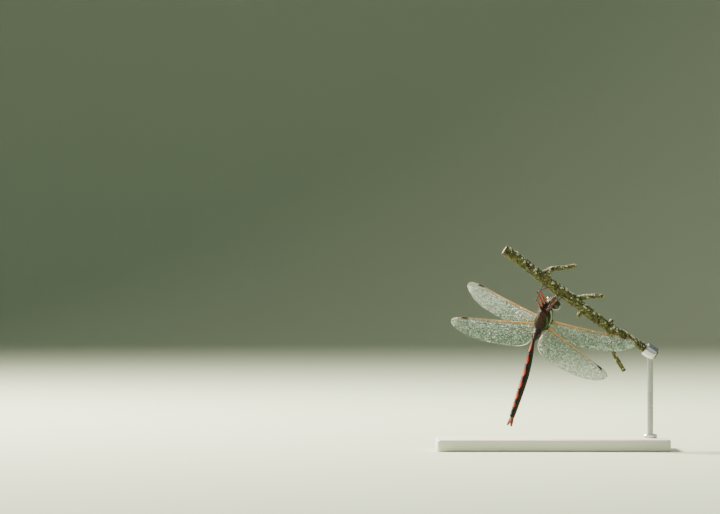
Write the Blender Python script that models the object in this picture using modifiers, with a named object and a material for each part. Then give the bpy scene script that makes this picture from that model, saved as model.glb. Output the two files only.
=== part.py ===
"""A darner dragonfly hanging from a cut twig, on a plain display stand.

Metres, +Z up. The origin is the middle of the underside of the stand's base.
Sizes below are in millimetres. The body has a frame of its own: x forward to
the head, y to its left side, z to its back, with the origin inside the thorax.
"""
import math

import bmesh
import bpy
import numpy as np
from mathutils import Matrix, Vector

MM = 0.001
GAP = 0.3                      # clear space between touching pieces
BLOCK = 20.0                   # edge of the cubes that trim a piece flat

# How the body hangs: turned about its length, leaned back, then leaned sideways
THORAX_AT = (-4.1, 0.0, 65.7)
BODY_TURN = math.radians(-22.8)
BODY_BACK = math.radians(17.5)
BODY_LEAN = math.radians(27.3)
HEAD_YAW = math.radians(20.0)  # the head looks to its own left
HEAD_PIVOT = (7.0, -0.3, -0.4)  # where the neck meets the head, body frame

# Head, measured in the head's own frame, from the neck pivot
EYE_AT = (2.7, 1.95, 0.5)
EYE_HALF = (2.45, 2.5, 2.9)
HEAD_AT = (1.9, 0.0, -1.5)
HEAD_HALF = (2.1, 2.4, 2.0)
FACE_AT = (4.2, 0.0, -0.9)
FACE_HALF = (1.7, 2.0, 2.1)
FACE_BACK = 3.9
MOUTH_AT = (3.2, 0.0, -2.9)
MOUTH_HALF = (1.9, 1.6, 0.9)
ANTENNA_LENGTH = 4.2
ANTENNA_ROOT = (5.3, 0.75, 1.55)
ANTENNA_RISE = (0.78, 0.42, 0.46)
ANTENNA_RADII = (0.34, 0.26, 0.25)
NECK_HOLLOW_AT = (-1.7, 0.0, -0.4)        # the hollow in the back of the head
NECK_HOLLOW_HALF = (2.7, 2.6, 2.7)

# Thorax: x, top, bottom and half width of its sections, body frame
THORAX_SECTIONS = (
    (-6.3, 2.1, -1.7, 2.1), (-5.2, 3.1, -2.7, 3.1), (-3.4, 4.1, -3.9, 3.7),
    (-1.0, 4.6, -4.8, 3.9), (1.4, 4.7, -5.2, 4.0), (3.4, 3.7, -4.9, 3.6),
    (5.2, 2.0, -4.1, 2.8), (6.2, 0.8, -3.0, 1.9))
PROTHORAX_SPAN = (6.5, 7.2)
PROTHORAX_RADIUS = 1.4
PROTHORAX_MIDDLE = -0.6
PROTHORAX_SWELLS = (0.9, 0.93, 0.7, 0.52)

# Abdomen: lengths of its ten segments, radius at stations along it
ABDOMEN_START = (-6.6, 0.0, 0.3)          # body frame
SEGMENT_LENGTHS = (1.5, 4.3, 6.9, 6.6, 6.4, 6.4, 5.6, 4.0, 2.5, 1.9)
ABDOMEN_RADIUS = (
    (0.0, 1.9), (1.5, 2.15), (3.3, 2.15), (4.8, 1.5), (6.2, 0.98), (8.0, 1.0), (11.0, 1.35),
    (15.0, 1.62), (20.0, 1.76), (26.0, 1.85), (33.0, 1.8), (38.0, 1.66), (43.0, 1.5), (46.0, 1.35))
ABDOMEN_TAPER_END = 46.0                  # the radius stays the same from here on
ABDOMEN_HEIGHT = 0.95                     # its depth as a share of its width
ABDOMEN_STEP = 0.05                       # length of the steps that sum to its curve
ABDOMEN_LEAN = ((0, 28), (4, 24), (9, 12), (18, 12), (26, 18), (48, 19))
ABDOMEN_FORWARD = ((0, 17), (12, 10), (48, 4))
CERCUS_LENGTH = 4.4
CERCUS_SPLAY = math.radians(5.0)
CERCUS_OFFSET = 0.72                      # each side of the middle
CERCUS_RISE = 0.35
EPIPROCT_LENGTH = 2.8
EPIPROCT_RISE = -0.45

# Wings: length, hinge in the body frame, sweep to the tail and rise of the tip,
# depth of the leading edge ahead of the hinge line, depth of the blade behind it
WING_THICKNESS = 0.5
WING_START = 0.9               # the blade starts this far out from its hinge
WING_END = 0.997               # and ends at this share of its length
WING_ARCH = 0.5                # height of its arch across the chord
WING_DROOP = 0.9               # fall of its tip below the line from the hinge
FOREWING = dict(length=44.9, hinge=(1.0, 2.8, 3.9), sweep=-5.5, rise=2.3,
                lead=(0.8, 3.0), trail=9.1, root=0.11, taper=(4.0, 0.75))
HINDWING = dict(length=43.9, hinge=(-3.0, 2.8, 3.3), sweep=20.0, rise=-6.1,
                lead=(0.9, 2.0), trail=12.5, root=0.055, taper=(2.6, 0.62))

# Legs: each coxa in the body frame, each knee in the world, and each foot by its x
# along the twig and its angle round it: 0 behind, 90 below, 180 in front
COXAE = dict(fore=(6.7, 1.3, -3.6), mid=(5.1, 1.7, -4.8), hind=(3.1, 1.9, -5.5))
KNEES = dict(fore_right=(-6.4, -2.5, 80.4), mid_right=(-7.5, -4.8, 79.0),
             hind_right=(-8.1, -7.6, 75.0), fore_left=(1.9, -2.4, 77.1),
             mid_left=(0.6, -7.3, 76.2), hind_left=(1.2, -9.6, 74.0))
FEET = dict(fore_right=(-1.2, 60), mid_right=(-1.8, 90), hind_right=(-3.0, 125),
            fore_left=(6.5, 10), mid_left=(4.0, 150), hind_left=(6.5, 165))
FEMUR_RADIUS, TIBIA_RADIUS, TARSUS_RADIUS = 0.42, 0.28, 0.26
KNEE_ROOM = 0.3                # shins start and end this much past the gap
TARSUS_WRAP = math.radians(48)

# Perch: the twig's axis, its side shoots and two broken stubs
PERCH_PATH = ((-24, -6.5, 100.1), (-18, -6.2, 96.1), (-12, -6, 91.7), (-6, -6, 87), (0, -6, 82.5),
              (6, -5.8, 78.2), (12, -5.5, 73.9), (18, -5, 68.9), (24, -4.2, 64.4), (30, -3.4, 60.2),
              (37, -2.8, 56.8), (44, -2.4, 52.4), (52, -2.2, 47.2))
PERCH_RADII = (2.6, 2.7, 2.6, 2.8, 2.9, 2.8, 2.6, 2.8, 2.7, 2.5, 2.2, 2.2, 2.2)
SHOOTS = (((-4, -6, 88), (0.5, -5, 90.6), (6, -3, 91), (12, -1.5, 92.2)),
          ((9, -5.6, 74.5), (14.5, -6.5, 76.2), (20, -8, 77), (25.5, -9, 77)),
          ((28, -3.4, 61), (29, -3, 54.5), (31, -2.4, 48), (36, -2, 39.5)),
          ((15, -5.3, 71.5), (14, -5.5, 69), (13.3, -5.7, 67.3), (13, -5.8, 66.4)),
          ((28.5, -3.6, 61.5), (29, -3.7, 63.5), (29.6, -3.8, 64.6), (29.9, -3.9, 65.3)))
SHOOT_RADIUS = 1.25
SHOOT_SWELLS = (1.5, 1.1, 1.0, 0.95)
AHEAD = 0.5                    # step along the twig that gives its heading

# Stand: a flat base, one rod, and the sleeve that holds the twig's low end
BASE_SIZE = (116.0, 62.0, 6.0)
BASE_EDGE = 1.0
ROD_RADIUS = 1.5
SLEEVE_LENGTH = 6.0
SLEEVE_WALL = 0.9
SLEEVE_BORE = 2.5

# Finish of each kind of piece: red, green and blue, roughness, metallic
FINISHES = dict(
    eye=(0.05, 0.07, 0.05, 0.15, 0.0), head=(0.10, 0.10, 0.05, 0.4, 0.0), face=(0.35, 0.30, 0.12, 0.4, 0.0),
    thorax=(0.10, 0.07, 0.04, 0.5, 0.0), abdomen=(0.05, 0.04, 0.03, 0.3, 0.0),
    cercus=(0.20, 0.06, 0.03, 0.35, 0.0), wing=(0.75, 0.80, 0.78, 0.2, 0.0),
    femur=(0.40, 0.08, 0.03, 0.3, 0.0), shank=(0.04, 0.03, 0.03, 0.3, 0.0),
    bark=(0.20, 0.17, 0.12, 0.85, 0.0), stand=(0.75, 0.72, 0.66, 0.5, 0.0),
    metal=(0.55, 0.55, 0.55, 0.3, 1.0))


def clear_scene():
    for item in list(bpy.data.objects):
        bpy.data.objects.remove(item, do_unlink=True)


def collection(name):
    group = bpy.data.collections.new(name)
    bpy.context.scene.collection.children.link(group)
    return group


def material(kind):
    finish = bpy.data.materials.new(kind)
    finish.use_nodes = True
    shader = finish.node_tree.nodes["Principled BSDF"]
    red, green, blue, roughness, metallic = FINISHES[kind]
    shader.inputs["Base Color"].default_value = (red, green, blue, 1.0)
    shader.inputs["Roughness"].default_value = roughness
    shader.inputs["Metallic"].default_value = metallic


def body_matrix():
    """The body's frame in the world: upright with its back to +Y, then posed."""
    upright = Matrix(((0, 1, 0), (0, 0, 1), (1, 0, 0))).to_4x4()
    lean = Matrix.Rotation(BODY_LEAN, 4, "Y")
    back = Matrix.Rotation(-BODY_BACK, 4, "X")
    turn = Matrix.Rotation(BODY_TURN, 4, "Z")
    return Matrix.Translation(Vector(THORAX_AT)) @ lean @ back @ turn @ upright


def head_matrix():
    return body_matrix() @ Matrix.Translation(Vector(HEAD_PIVOT)) @ Matrix.Rotation(HEAD_YAW, 4, "Z")


def metres(frame):
    """The same frame with its origin turned from millimetres to metres."""
    placed = frame.copy()
    placed.translation = frame.translation * MM
    return placed


def add_object(name, data, kind, group, frame=None):
    item = bpy.data.objects.new(name, data)
    if kind not in bpy.data.materials:
        material(kind)
    if not data.materials:
        data.materials.append(bpy.data.materials[kind])
    if frame is not None:
        item.matrix_world = metres(frame)
    group.objects.link(item)
    return item


def loft(name, rings):
    """Skin a row of rings, each the same number of points, and close both ends with a fan."""
    rings = np.asarray(rings, float)
    count, around = rings.shape[:2]
    points = np.vstack([rings.reshape(-1, 3), rings[0].mean(0), rings[-1].mean(0)]) * MM
    faces = []
    for i in range(count - 1):
        for j in range(around):
            k = (j + 1) % around
            faces.append((i * around + j, i * around + k, (i + 1) * around + k, (i + 1) * around + j))
    first, last = count * around, count * around + 1
    end = (count - 1) * around
    for j in range(around):
        k = (j + 1) % around
        faces.append((first, k, j))
        faces.append((last, end + j, end + k))
    mesh = bpy.data.meshes.new(name)
    mesh.from_pydata(points.tolist(), [], faces)
    build = bmesh.new()
    build.from_mesh(mesh)
    bmesh.ops.recalc_face_normals(build, faces=build.faces)
    build.to_mesh(mesh)
    build.free()
    mesh.shade_smooth()
    return mesh


def smooth_row(knots, positions):
    """Values between knots on a Catmull-Rom curve through them, one column per value."""
    knots = np.asarray(knots, float)
    x, y = knots[:, 0], knots[:, 1:]
    slopes = np.gradient(y, x, axis=0)
    i = np.clip(np.searchsorted(x, positions, side="right") - 1, 0, len(x) - 2)
    step = (x[i + 1] - x[i])[:, None]
    t = (np.asarray(positions)[:, None] - x[i][:, None]) / step
    a = y[i] * (1 + 2 * t) * (1 - t) ** 2 + slopes[i] * step * t * (1 - t) ** 2
    b = y[i + 1] * t ** 2 * (3 - 2 * t) + slopes[i + 1] * step * t ** 2 * (t - 1)
    return a + b


def sphere(name, centre, halves, segments, rings):
    build = bmesh.new()
    bmesh.ops.create_uvsphere(build, u_segments=segments, v_segments=rings, radius=1.0)
    scale = Matrix.Diagonal((*(h * MM for h in halves), 1.0))
    bmesh.ops.transform(build, matrix=Matrix.Translation(Vector(centre) * MM) @ scale, verts=build.verts)
    mesh = bpy.data.meshes.new(name)
    build.to_mesh(mesh)
    build.free()
    mesh.shade_smooth()
    return mesh


def cut(item, cutter, group):
    """Take the cutter away from the item, with the cutter kept out of sight."""
    for other in item.users_collection:
        if cutter.name in other.objects:
            other.objects.unlink(cutter)
    if cutter.name not in group.objects:
        group.objects.link(cutter)
    cutter.hide_render = True
    cutter.display_type = "WIRE"
    modifier = item.modifiers.new("cut", "BOOLEAN")
    modifier.operation = "DIFFERENCE"
    modifier.solver = "EXACT"
    modifier.object = cutter


def tube(name, points, radii, kind, group, resolution=2):
    """A round tube along straight runs, its radius given at each point."""
    data = bpy.data.curves.new(name, "CURVE")
    data.dimensions = "3D"
    data.bevel_depth = MM
    data.bevel_resolution = resolution
    data.use_fill_caps = True
    spline = data.splines.new("POLY")
    spline.points.add(len(points) - 1)
    for point, place, radius in zip(spline.points, points, radii):
        point.co = (*(c * MM for c in place), 1.0)
        point.radius = radius
    return add_object(name, data, kind, group)


def build_head(group, cutters):
    frame = head_matrix()
    eye_cuts = []
    for side, sign in (("left", 1), ("right", -1)):
        centre = (EYE_AT[0], sign * EYE_AT[1], EYE_AT[2])
        eye = add_object(f"eye_{side}", sphere(f"eye_{side}", centre, EYE_HALF, 20, 13), "eye", group, frame)
        far = add_object(f"midline_{side}", block("middle", (0, sign * (GAP / 2 - BLOCK / 2), 0)), "eye",
                         cutters, frame)
        cut(eye, far, cutters)
        room = [h + GAP for h in EYE_HALF]
        eye_cuts.append(add_object(f"eye_room_{side}", sphere("eye_room", centre, room, 20, 13),
                                   "eye", cutters, frame))
    head = add_object("head", sphere("head", HEAD_AT, HEAD_HALF, 20, 12), "head", group, frame)
    face = add_object("face", sphere("face", FACE_AT, FACE_HALF, 16, 12), "face", group, frame)
    mouth_shape = sphere("mouthparts", MOUTH_AT, MOUTH_HALF, 16, 8)
    mouth = add_object("mouthparts", mouth_shape, "face", group, frame)
    for piece in (head, face, mouth):
        for room in eye_cuts:
            cut(piece, room, cutters)
    back_block = block("behind_face", (FACE_BACK - BLOCK / 2, 0, 0))
    behind = add_object("behind_face", back_block, "face", cutters, frame)
    cut(face, behind, cutters)
    head_room = add_object("head_room", sphere("head_room", HEAD_AT, [h + GAP for h in HEAD_HALF], 20, 12),
                           "head", cutters, frame)
    cut(face, head_room, cutters)
    cut(mouth, head_room, cutters)
    face_room = add_object("face_room", sphere("face_room", FACE_AT, [h + GAP for h in FACE_HALF], 16, 12),
                           "face", cutters, frame)
    cut(mouth, face_room, cutters)
    neck_room = add_object("neck_room", sphere("neck_room", NECK_HOLLOW_AT, NECK_HOLLOW_HALF, 16, 12),
                           "head", cutters, frame)
    cut(head, neck_room, cutters)
    for side, sign in (("left", 1), ("right", -1)):
        mirror = Vector((1, sign, 1))
        root = Vector(ANTENNA_ROOT) * mirror
        rise = (Vector(ANTENNA_RISE) * mirror).normalized()
        places = [frame @ (root + rise * (ANTENNA_LENGTH * t)) for t in (0.0, 0.25, 1.0)]
        tube(f"antenna_{side}", places, ANTENNA_RADII, "shank", group, resolution=1)


def block(name, centre):
    """A large cube, a cutter that trims a piece along a flat plane."""
    build = bmesh.new()
    bmesh.ops.create_cube(build, size=BLOCK * MM)
    bmesh.ops.translate(build, vec=Vector(centre) * MM, verts=build.verts)
    mesh = bpy.data.meshes.new(name)
    build.to_mesh(mesh)
    build.free()
    return mesh


def oval(x, top, bottom, half, power=2.4, around=24):
    """One upright section across the body: a rounded oval, its foot and top unlike."""
    angles = np.linspace(0, 2 * np.pi, around, endpoint=False)
    c, s = np.cos(angles), np.sin(angles)
    middle = 0.45 * top + 0.55 * bottom
    reach = np.where(s > 0, top - middle, middle - bottom)
    y = half * np.sign(c) * np.abs(c) ** (2 / power)
    z = middle + reach * np.sign(s) * np.abs(s) ** (2 / power)
    return np.column_stack([np.full(around, x), y, z])


def build_thorax(group):
    frame = body_matrix()
    stations = np.linspace(THORAX_SECTIONS[0][0], THORAX_SECTIONS[-1][0], 17)
    rows = smooth_row(THORAX_SECTIONS, stations)
    rings = [oval(x, *row) for x, row in zip(stations, rows)]
    add_object("thorax", loft("thorax", rings), "thorax", group, frame)
    start, end = PROTHORAX_SPAN
    rings = []
    for x, swell in zip(np.linspace(start, end, len(PROTHORAX_SWELLS)), PROTHORAX_SWELLS):
        radius = swell * PROTHORAX_RADIUS
        top, bottom = PROTHORAX_MIDDLE + radius, PROTHORAX_MIDDLE - radius
        rings.append(oval(x, top, bottom, radius, power=2.0, around=16))
    add_object("prothorax", loft("prothorax", rings), "thorax", group, frame)


def abdomen_frames(lengths):
    """Points down the abdomen's middle with their directions, by summing short steps."""
    start = body_matrix() @ Vector(ABDOMEN_START)
    back = (body_matrix().to_3x3() @ Vector((0, 0, 1))).normalized()
    fine = np.arange(0, sum(SEGMENT_LENGTHS) + 2 * GAP, ABDOMEN_STEP)
    lean = np.radians(np.interp(fine, *np.transpose(ABDOMEN_LEAN)))
    forward = np.radians(np.interp(fine, *np.transpose(ABDOMEN_FORWARD)))
    heading = np.column_stack([-np.sin(lean) * np.cos(forward), -np.sin(forward),
                               -np.cos(lean) * np.cos(forward)])
    middle = np.array(start) + np.vstack([np.zeros(3), np.cumsum(heading[:-1] * ABDOMEN_STEP, axis=0)])
    places, frames = [], []
    for s in lengths:
        i = min(int(round(s / ABDOMEN_STEP)), len(fine) - 1)
        along = Vector(heading[i]).normalized()
        up = (back - along * back.dot(along)).normalized()
        places.append(Vector(middle[i]))
        frames.append((along, up.cross(along), up))
    return places, frames


def build_abdomen(group):
    begin = 0.0
    for number, length in enumerate(SEGMENT_LENGTHS, start=1):
        stations = np.linspace(begin + GAP / 2, begin + length - GAP / 2, max(3, int(length / 1.5) + 2))
        radii = smooth_row(ABDOMEN_RADIUS, np.clip(stations, 0, ABDOMEN_TAPER_END))[:, 0]
        places, frames = abdomen_frames(stations)
        angles = np.linspace(0, 2 * np.pi, 14, endpoint=False)
        rings = []
        for place, (along, side, up), radius in zip(places, frames, radii):
            ring = [place + side * (radius * math.cos(a)) + up * (ABDOMEN_HEIGHT * radius * math.sin(a))
                    for a in angles]
            rings.append([tuple(point) for point in ring])
        name = f"abdomen_{number:02d}"
        add_object(name, loft(name, rings), "abdomen", group)
        begin += length
    places, frames = abdomen_frames([begin + GAP])
    root, (along, side, up) = places[0], frames[0]
    for name, turn, length, rise in (("cercus_left", -1, CERCUS_LENGTH, CERCUS_RISE),
                                     ("cercus_right", 1, CERCUS_LENGTH, CERCUS_RISE),
                                     ("epiproct", 0, EPIPROCT_LENGTH, EPIPROCT_RISE)):
        splay = CERCUS_SPLAY * turn
        heading = along * math.cos(splay) + side * math.sin(splay)
        across = up.cross(heading)
        rings = []
        for t in np.linspace(0, 1, 6):
            half = 0.26 + 0.34 * math.sin(math.pi * t) ** 1.2 + (0.25 if turn == 0 else 0.0) * (1 - t)
            centre = root + side * (turn * CERCUS_OFFSET) + up * rise + heading * (length * t)
            rings.append([tuple(centre + across * (half * math.cos(a)) + up * (0.27 * math.sin(a)))
                          for a in np.linspace(0, 2 * np.pi, 8, endpoint=False)])
        add_object(name, loft(name, rings), "cercus", group)


def wing_blade(wing, side, stations, across):
    """Points of one wing's surface in the body frame, span by chord.

    The leading edge bows ahead of the line from hinge to tip and the trailing edge
    behind it; both close on the tip in a round end.
    """
    sweep, rise = math.radians(wing["sweep"]), math.radians(wing["rise"])
    span = np.array([-math.sin(sweep), side * math.cos(sweep) * math.cos(rise),
                     math.cos(sweep) * math.sin(rise)])
    chord = np.array([-math.cos(sweep), -side * math.sin(sweep), 0.0])
    normal = np.cross(span, chord) * -side
    hinge = np.array(wing["hinge"]) * (1, side, 1)
    u = np.asarray(stations)[:, None]
    v = np.asarray(across)[None, :]
    lead = -(wing["lead"][0] + wing["lead"][1] * u ** 2) * np.sqrt(1 - u ** 14)
    power, shape = wing["taper"]
    trail = wing["trail"] * (1 - np.exp(-(u + 0.005) / wing["root"])) * (1 - u ** power) ** shape
    q = lead + (trail - lead) * v
    height = WING_ARCH * np.sin(np.pi * v) - WING_DROOP * u ** 2
    flat = hinge + span * (wing["length"] * u)[..., None] + chord * q[..., None]
    return flat + normal * height[..., None]


def build_wings(group):
    frame = body_matrix()
    for name, wing in (("forewing", FOREWING), ("hindwing", HINDWING)):
        first = WING_START / wing["length"]
        stations = first + (WING_END - first) * np.sin(np.linspace(0, np.pi / 2, 24)) ** 1.15
        across = np.linspace(0, 1, 5)
        for side_name, side in (("left", 1), ("right", -1)):
            grid = wing_blade(wing, side, stations, across)
            rows, columns = grid.shape[:2]
            corners = [i * columns + j for i in range(rows - 1) for j in range(columns - 1)]
            faces = [(k, k + 1, k + columns + 1, k + columns) for k in corners]
            title = f"{name}_{side_name}"
            mesh = bpy.data.meshes.new(title)
            mesh.from_pydata((grid.reshape(-1, 3) * MM).tolist(), [], faces)
            mesh.shade_smooth()
            item = add_object(title, mesh, "wing", group, frame)
            thick = item.modifiers.new("thickness", "SOLIDIFY")
            thick.thickness = WING_THICKNESS * MM
            thick.offset = 0.0


def perch_point(x):
    """The twig's middle and its heading at a given x."""
    path = np.array(PERCH_PATH)
    here, ahead = smooth_row(path, [x, x + AHEAD])
    middle = Vector((x, *here))
    heading = (Vector((x + AHEAD, *ahead)) - middle).normalized()
    radius = np.interp(x, path[:, 0], PERCH_RADII)
    return middle, heading, radius


def foot_points(x, angle, away):
    """Three points of a foot that lies round the twig, a set distance off its surface."""
    middle, heading, radius = perch_point(x)
    front = Vector((0, -1, 0))
    front = (front - heading * front.dot(heading)).normalized()
    below = front.cross(heading).normalized()
    if below.z > 0:
        below = -below
    points = []
    for t in (0.0, 0.5, 1.0):
        turn = math.radians(angle) + TARSUS_WRAP * t
        direction = front * -math.cos(turn) + below * math.sin(turn)
        points.append(middle + direction * (radius + away))
    return points


def build_legs(group):
    frame = body_matrix()
    for pair in ("fore", "mid", "hind"):
        for side_name, side in (("left", 1), ("right", -1)):
            key = f"{pair}_{side_name}"
            x, y, z = COXAE[pair]
            hip = frame @ Vector((x, side * y, z))
            knee = Vector(KNEES[key])
            foot = foot_points(*FEET[key], GAP + TARSUS_RADIUS)
            thigh = (knee - hip).normalized()
            tube(f"femur_{key}", (hip, hip + thigh * 1.2, hip + thigh * 1.7, knee - thigh * 0.6, knee),
                 (0.55, 0.5, FEMUR_RADIUS, FEMUR_RADIUS, 0.34), "femur", group)
            shin = (foot[0] - knee).normalized()
            top = knee + shin * (GAP + KNEE_ROOM)
            ankle = foot[0] - shin * (GAP + KNEE_ROOM)
            shin_radii = (1.15 * TIBIA_RADIUS, TIBIA_RADIUS, 0.9 * TIBIA_RADIUS)
            tube(f"tibia_{key}", (top, (top + ankle) / 2, ankle), shin_radii, "shank", group)
            tube(f"tarsus_{key}", foot, [TARSUS_RADIUS] * 3, "shank", group)


def build_perch(group, cutters):
    xs = np.linspace(PERCH_PATH[0][0], PERCH_PATH[-1][0], 26)
    path = np.array(PERCH_PATH)
    places = np.column_stack([xs, smooth_row(path, xs)])
    radii = np.interp(xs, path[:, 0], PERCH_RADII)
    tube("perch_twig", places, radii, "bark", group, resolution=3)
    room = solid_from(tube("twig_room", places, radii + GAP, "bark", cutters, resolution=3), cutters)
    for number, points in enumerate(SHOOTS, start=1):
        radii_here = [SHOOT_RADIUS * swell for swell in SHOOT_SWELLS]
        shoot = tube(f"perch_shoot_{number}", points, radii_here, "bark", group)
        cut(solid_from(shoot, group), room, cutters)


def solid_from(curve, group):
    """A closed mesh object made from a tube, which it takes the place of."""
    shown = curve.evaluated_get(bpy.context.evaluated_depsgraph_get())
    mesh = bpy.data.meshes.new_from_object(shown)
    build = bmesh.new()
    build.from_mesh(mesh)
    bmesh.ops.remove_doubles(build, verts=build.verts, dist=0.00001)
    build.to_mesh(mesh)
    build.free()
    name = curve.name
    place = curve.matrix_world.copy()
    bpy.data.objects.remove(curve)
    item = bpy.data.objects.new(name, mesh)
    item.matrix_world = place
    group.objects.link(item)
    return item


def build_stand(group, cutters):
    height = BASE_SIZE[2]
    build = bmesh.new()
    bmesh.ops.create_cube(build, size=1.0)
    bmesh.ops.scale(build, vec=[size * MM for size in BASE_SIZE], verts=build.verts)
    bmesh.ops.translate(build, vec=(0, 0, height / 2 * MM), verts=build.verts)
    mesh = bpy.data.meshes.new("stand_base")
    build.to_mesh(mesh)
    build.free()
    base = add_object("stand_base", mesh, "stand", group)
    edge = base.modifiers.new("edge", "BEVEL")
    edge.width = BASE_EDGE * MM
    edge.segments = 2

    hold, heading, _ = perch_point(PERCH_PATH[-1][0] - SLEEVE_LENGTH / 2)
    turn = heading.to_track_quat("Z", "Y").to_matrix().to_4x4()
    outer = SLEEVE_BORE + SLEEVE_WALL
    sleeve = open_pipe(SLEEVE_BORE + SLEEVE_WALL / 2, SLEEVE_LENGTH)
    collar = add_object("stand_collar", sleeve, "metal", group, Matrix.Translation(hold) @ turn)
    wall = collar.modifiers.new("wall", "SOLIDIFY")
    wall.thickness = SLEEVE_WALL * MM
    wall.offset = 0.0

    top = hold.z
    foot = height + GAP
    rod = capped_pipe("stand_rod", ROD_RADIUS, top - foot)
    rod_item = add_object("stand_rod", rod, "metal", group,
                          Matrix.Translation(Vector((hold.x, hold.y, (top + foot) / 2))))
    room = capped_pipe("collar_room", outer + GAP, SLEEVE_LENGTH + 4)
    cutter = add_object("collar_room", room, "metal", cutters, Matrix.Translation(hold) @ turn)
    cut(rod_item, cutter, cutters)


def open_pipe(radius, length):
    build = bmesh.new()
    bmesh.ops.create_cone(build, cap_ends=False, segments=24, radius1=radius * MM, radius2=radius * MM,
                          depth=length * MM)
    mesh = bpy.data.meshes.new("pipe")
    build.to_mesh(mesh)
    build.free()
    mesh.shade_smooth()
    return mesh


def capped_pipe(name, radius, length):
    build = bmesh.new()
    bmesh.ops.create_cone(build, cap_ends=True, segments=24, radius1=radius * MM, radius2=radius * MM,
                          depth=length * MM)
    mesh = bpy.data.meshes.new(name)
    build.to_mesh(mesh)
    build.free()
    return mesh


def main():
    clear_scene()
    group = collection("dragonfly")
    cutters = collection("cutters")
    build_head(group, cutters)
    build_thorax(group)
    build_abdomen(group)
    build_wings(group)
    build_legs(group)
    build_perch(group, cutters)
    build_stand(group, cutters)


main()
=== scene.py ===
"""The looks of a darner dragonfly hanging from a cut twig, on a plain display stand.

Every shape is worked out in millimetres and written to its mesh in metres. The insect's
body has a frame of its own: x forward to the head, y to its left side, z to its back.
"""
import math

import bpy
import numpy as np
from mathutils import Matrix, Vector
from mathutils.geometry import delaunay_2d_cdt


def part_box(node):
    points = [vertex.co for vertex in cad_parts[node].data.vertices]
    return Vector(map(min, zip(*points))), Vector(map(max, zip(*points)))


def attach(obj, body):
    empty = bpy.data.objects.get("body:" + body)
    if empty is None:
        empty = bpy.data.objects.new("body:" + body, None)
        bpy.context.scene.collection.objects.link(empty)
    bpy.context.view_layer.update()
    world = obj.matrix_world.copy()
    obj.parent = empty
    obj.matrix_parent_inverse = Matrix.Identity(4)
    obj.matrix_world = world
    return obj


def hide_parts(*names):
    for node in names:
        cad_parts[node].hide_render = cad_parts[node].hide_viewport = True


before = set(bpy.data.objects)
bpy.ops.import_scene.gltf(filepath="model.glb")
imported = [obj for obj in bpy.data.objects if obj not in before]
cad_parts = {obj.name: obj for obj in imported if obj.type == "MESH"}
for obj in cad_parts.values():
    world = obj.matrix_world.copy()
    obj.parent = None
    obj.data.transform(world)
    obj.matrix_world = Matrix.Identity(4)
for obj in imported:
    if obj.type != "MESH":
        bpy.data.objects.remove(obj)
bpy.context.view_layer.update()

MM = 0.001
WHOLE = 2 * math.pi

# The body's pose and the places on it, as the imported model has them
THORAX_AT = (-4.1, 0.0, 65.7)
BODY_TURN, BODY_BACK, BODY_LEAN = (math.radians(a) for a in (-22.8, 17.5, 27.3))
HEAD_YAW = math.radians(20.0)
HEAD_PIVOT = (7.0, -0.3, -0.4)

EYE_AT = (2.7, 1.95, 0.5)
EYE_HALF = (2.45, 2.5, 2.9)

# Neck, collar and thorax: x, top, bottom and half width of each section
TRUNK_SECTIONS = (
    (-6.35, 2.0, -1.6, 2.0), (-5.2, 3.0, -2.6, 3.0), (-3.4, 4.0, -3.8, 3.6), (-1.0, 4.5, -4.7, 3.8),
    (1.4, 4.6, -5.1, 3.9), (3.4, 3.6, -4.8, 3.5), (5.2, 1.9, -4.0, 2.7), (6.15, 0.8, -2.9, 1.8),
    (6.4, 0.45, -1.8, 1.1), (6.6, 0.65, -1.85, 1.25), (6.8, 0.5, -1.7, 1.15), (7.0, 0.25, -1.5, 0.95),
    (7.3, 0.1, -1.3, 0.75), (8.2, 0.1, -1.2, 0.65))

SEGMENT_LENGTHS = (1.5, 4.3, 6.9, 6.6, 6.4, 6.4, 5.6, 4.0, 2.5, 1.9)
ABDOMEN_START = (-6.6, 0.0, 0.3)
ABDOMEN_RADIUS = ((0.0, 1.9), (1.5, 2.15), (3.3, 2.15), (4.8, 1.5), (6.2, 0.98), (8.0, 1.0), (11.0, 1.35),
                  (15.0, 1.62), (20.0, 1.76), (26.0, 1.85), (33.0, 1.8), (38.0, 1.66), (43.0, 1.5),
                  (46.0, 1.35))
ABDOMEN_TAPER_END = 46.0
ABDOMEN_LEAN = ((0, 28), (4, 24), (9, 12), (18, 12), (26, 18), (48, 19))
ABDOMEN_FORWARD = ((0, 17), (12, 10), (48, 4))
ABDOMEN_TWIST = ((0, 0), (5.5, 0), (11, 30), (40, 30), (48, 8))   # degrees, belly to its right
CERCUS_LENGTH = 4.4
CERCUS_SPLAY = math.radians(5.0)

WING_START = 0.9
FOREWING = dict(length=44.9, hinge=(1.0, 2.8, 3.9), sweep=-5.5, rise=2.3, lead=(0.8, 3.0),
                trail=9.1, root=0.11, taper=(4.0, 0.75))
HINDWING = dict(length=43.9, hinge=(-3.0, 2.8, 3.3), sweep=20.0, rise=-6.1, lead=(0.9, 2.0),
                trail=12.5, root=0.055, taper=(2.6, 0.62))

COXAE = dict(fore=(6.7, 1.3, -3.6), mid=(5.1, 1.7, -4.8), hind=(3.1, 1.9, -5.5))
KNEES = dict(fore_right=(-6.4, -2.5, 80.4), mid_right=(-7.5, -4.8, 79.0), hind_right=(-8.1, -7.6, 75.0),
             fore_left=(1.9, -2.4, 77.1), mid_left=(0.6, -7.3, 76.2), hind_left=(1.2, -9.6, 74.0))
FEET = dict(fore_right=(-1.2, 60), mid_right=(-1.8, 90), hind_right=(-3.0, 125),
            fore_left=(6.5, 10), mid_left=(4.0, 150), hind_left=(6.5, 165))
TARSUS_WRAP = math.radians(48)

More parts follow.
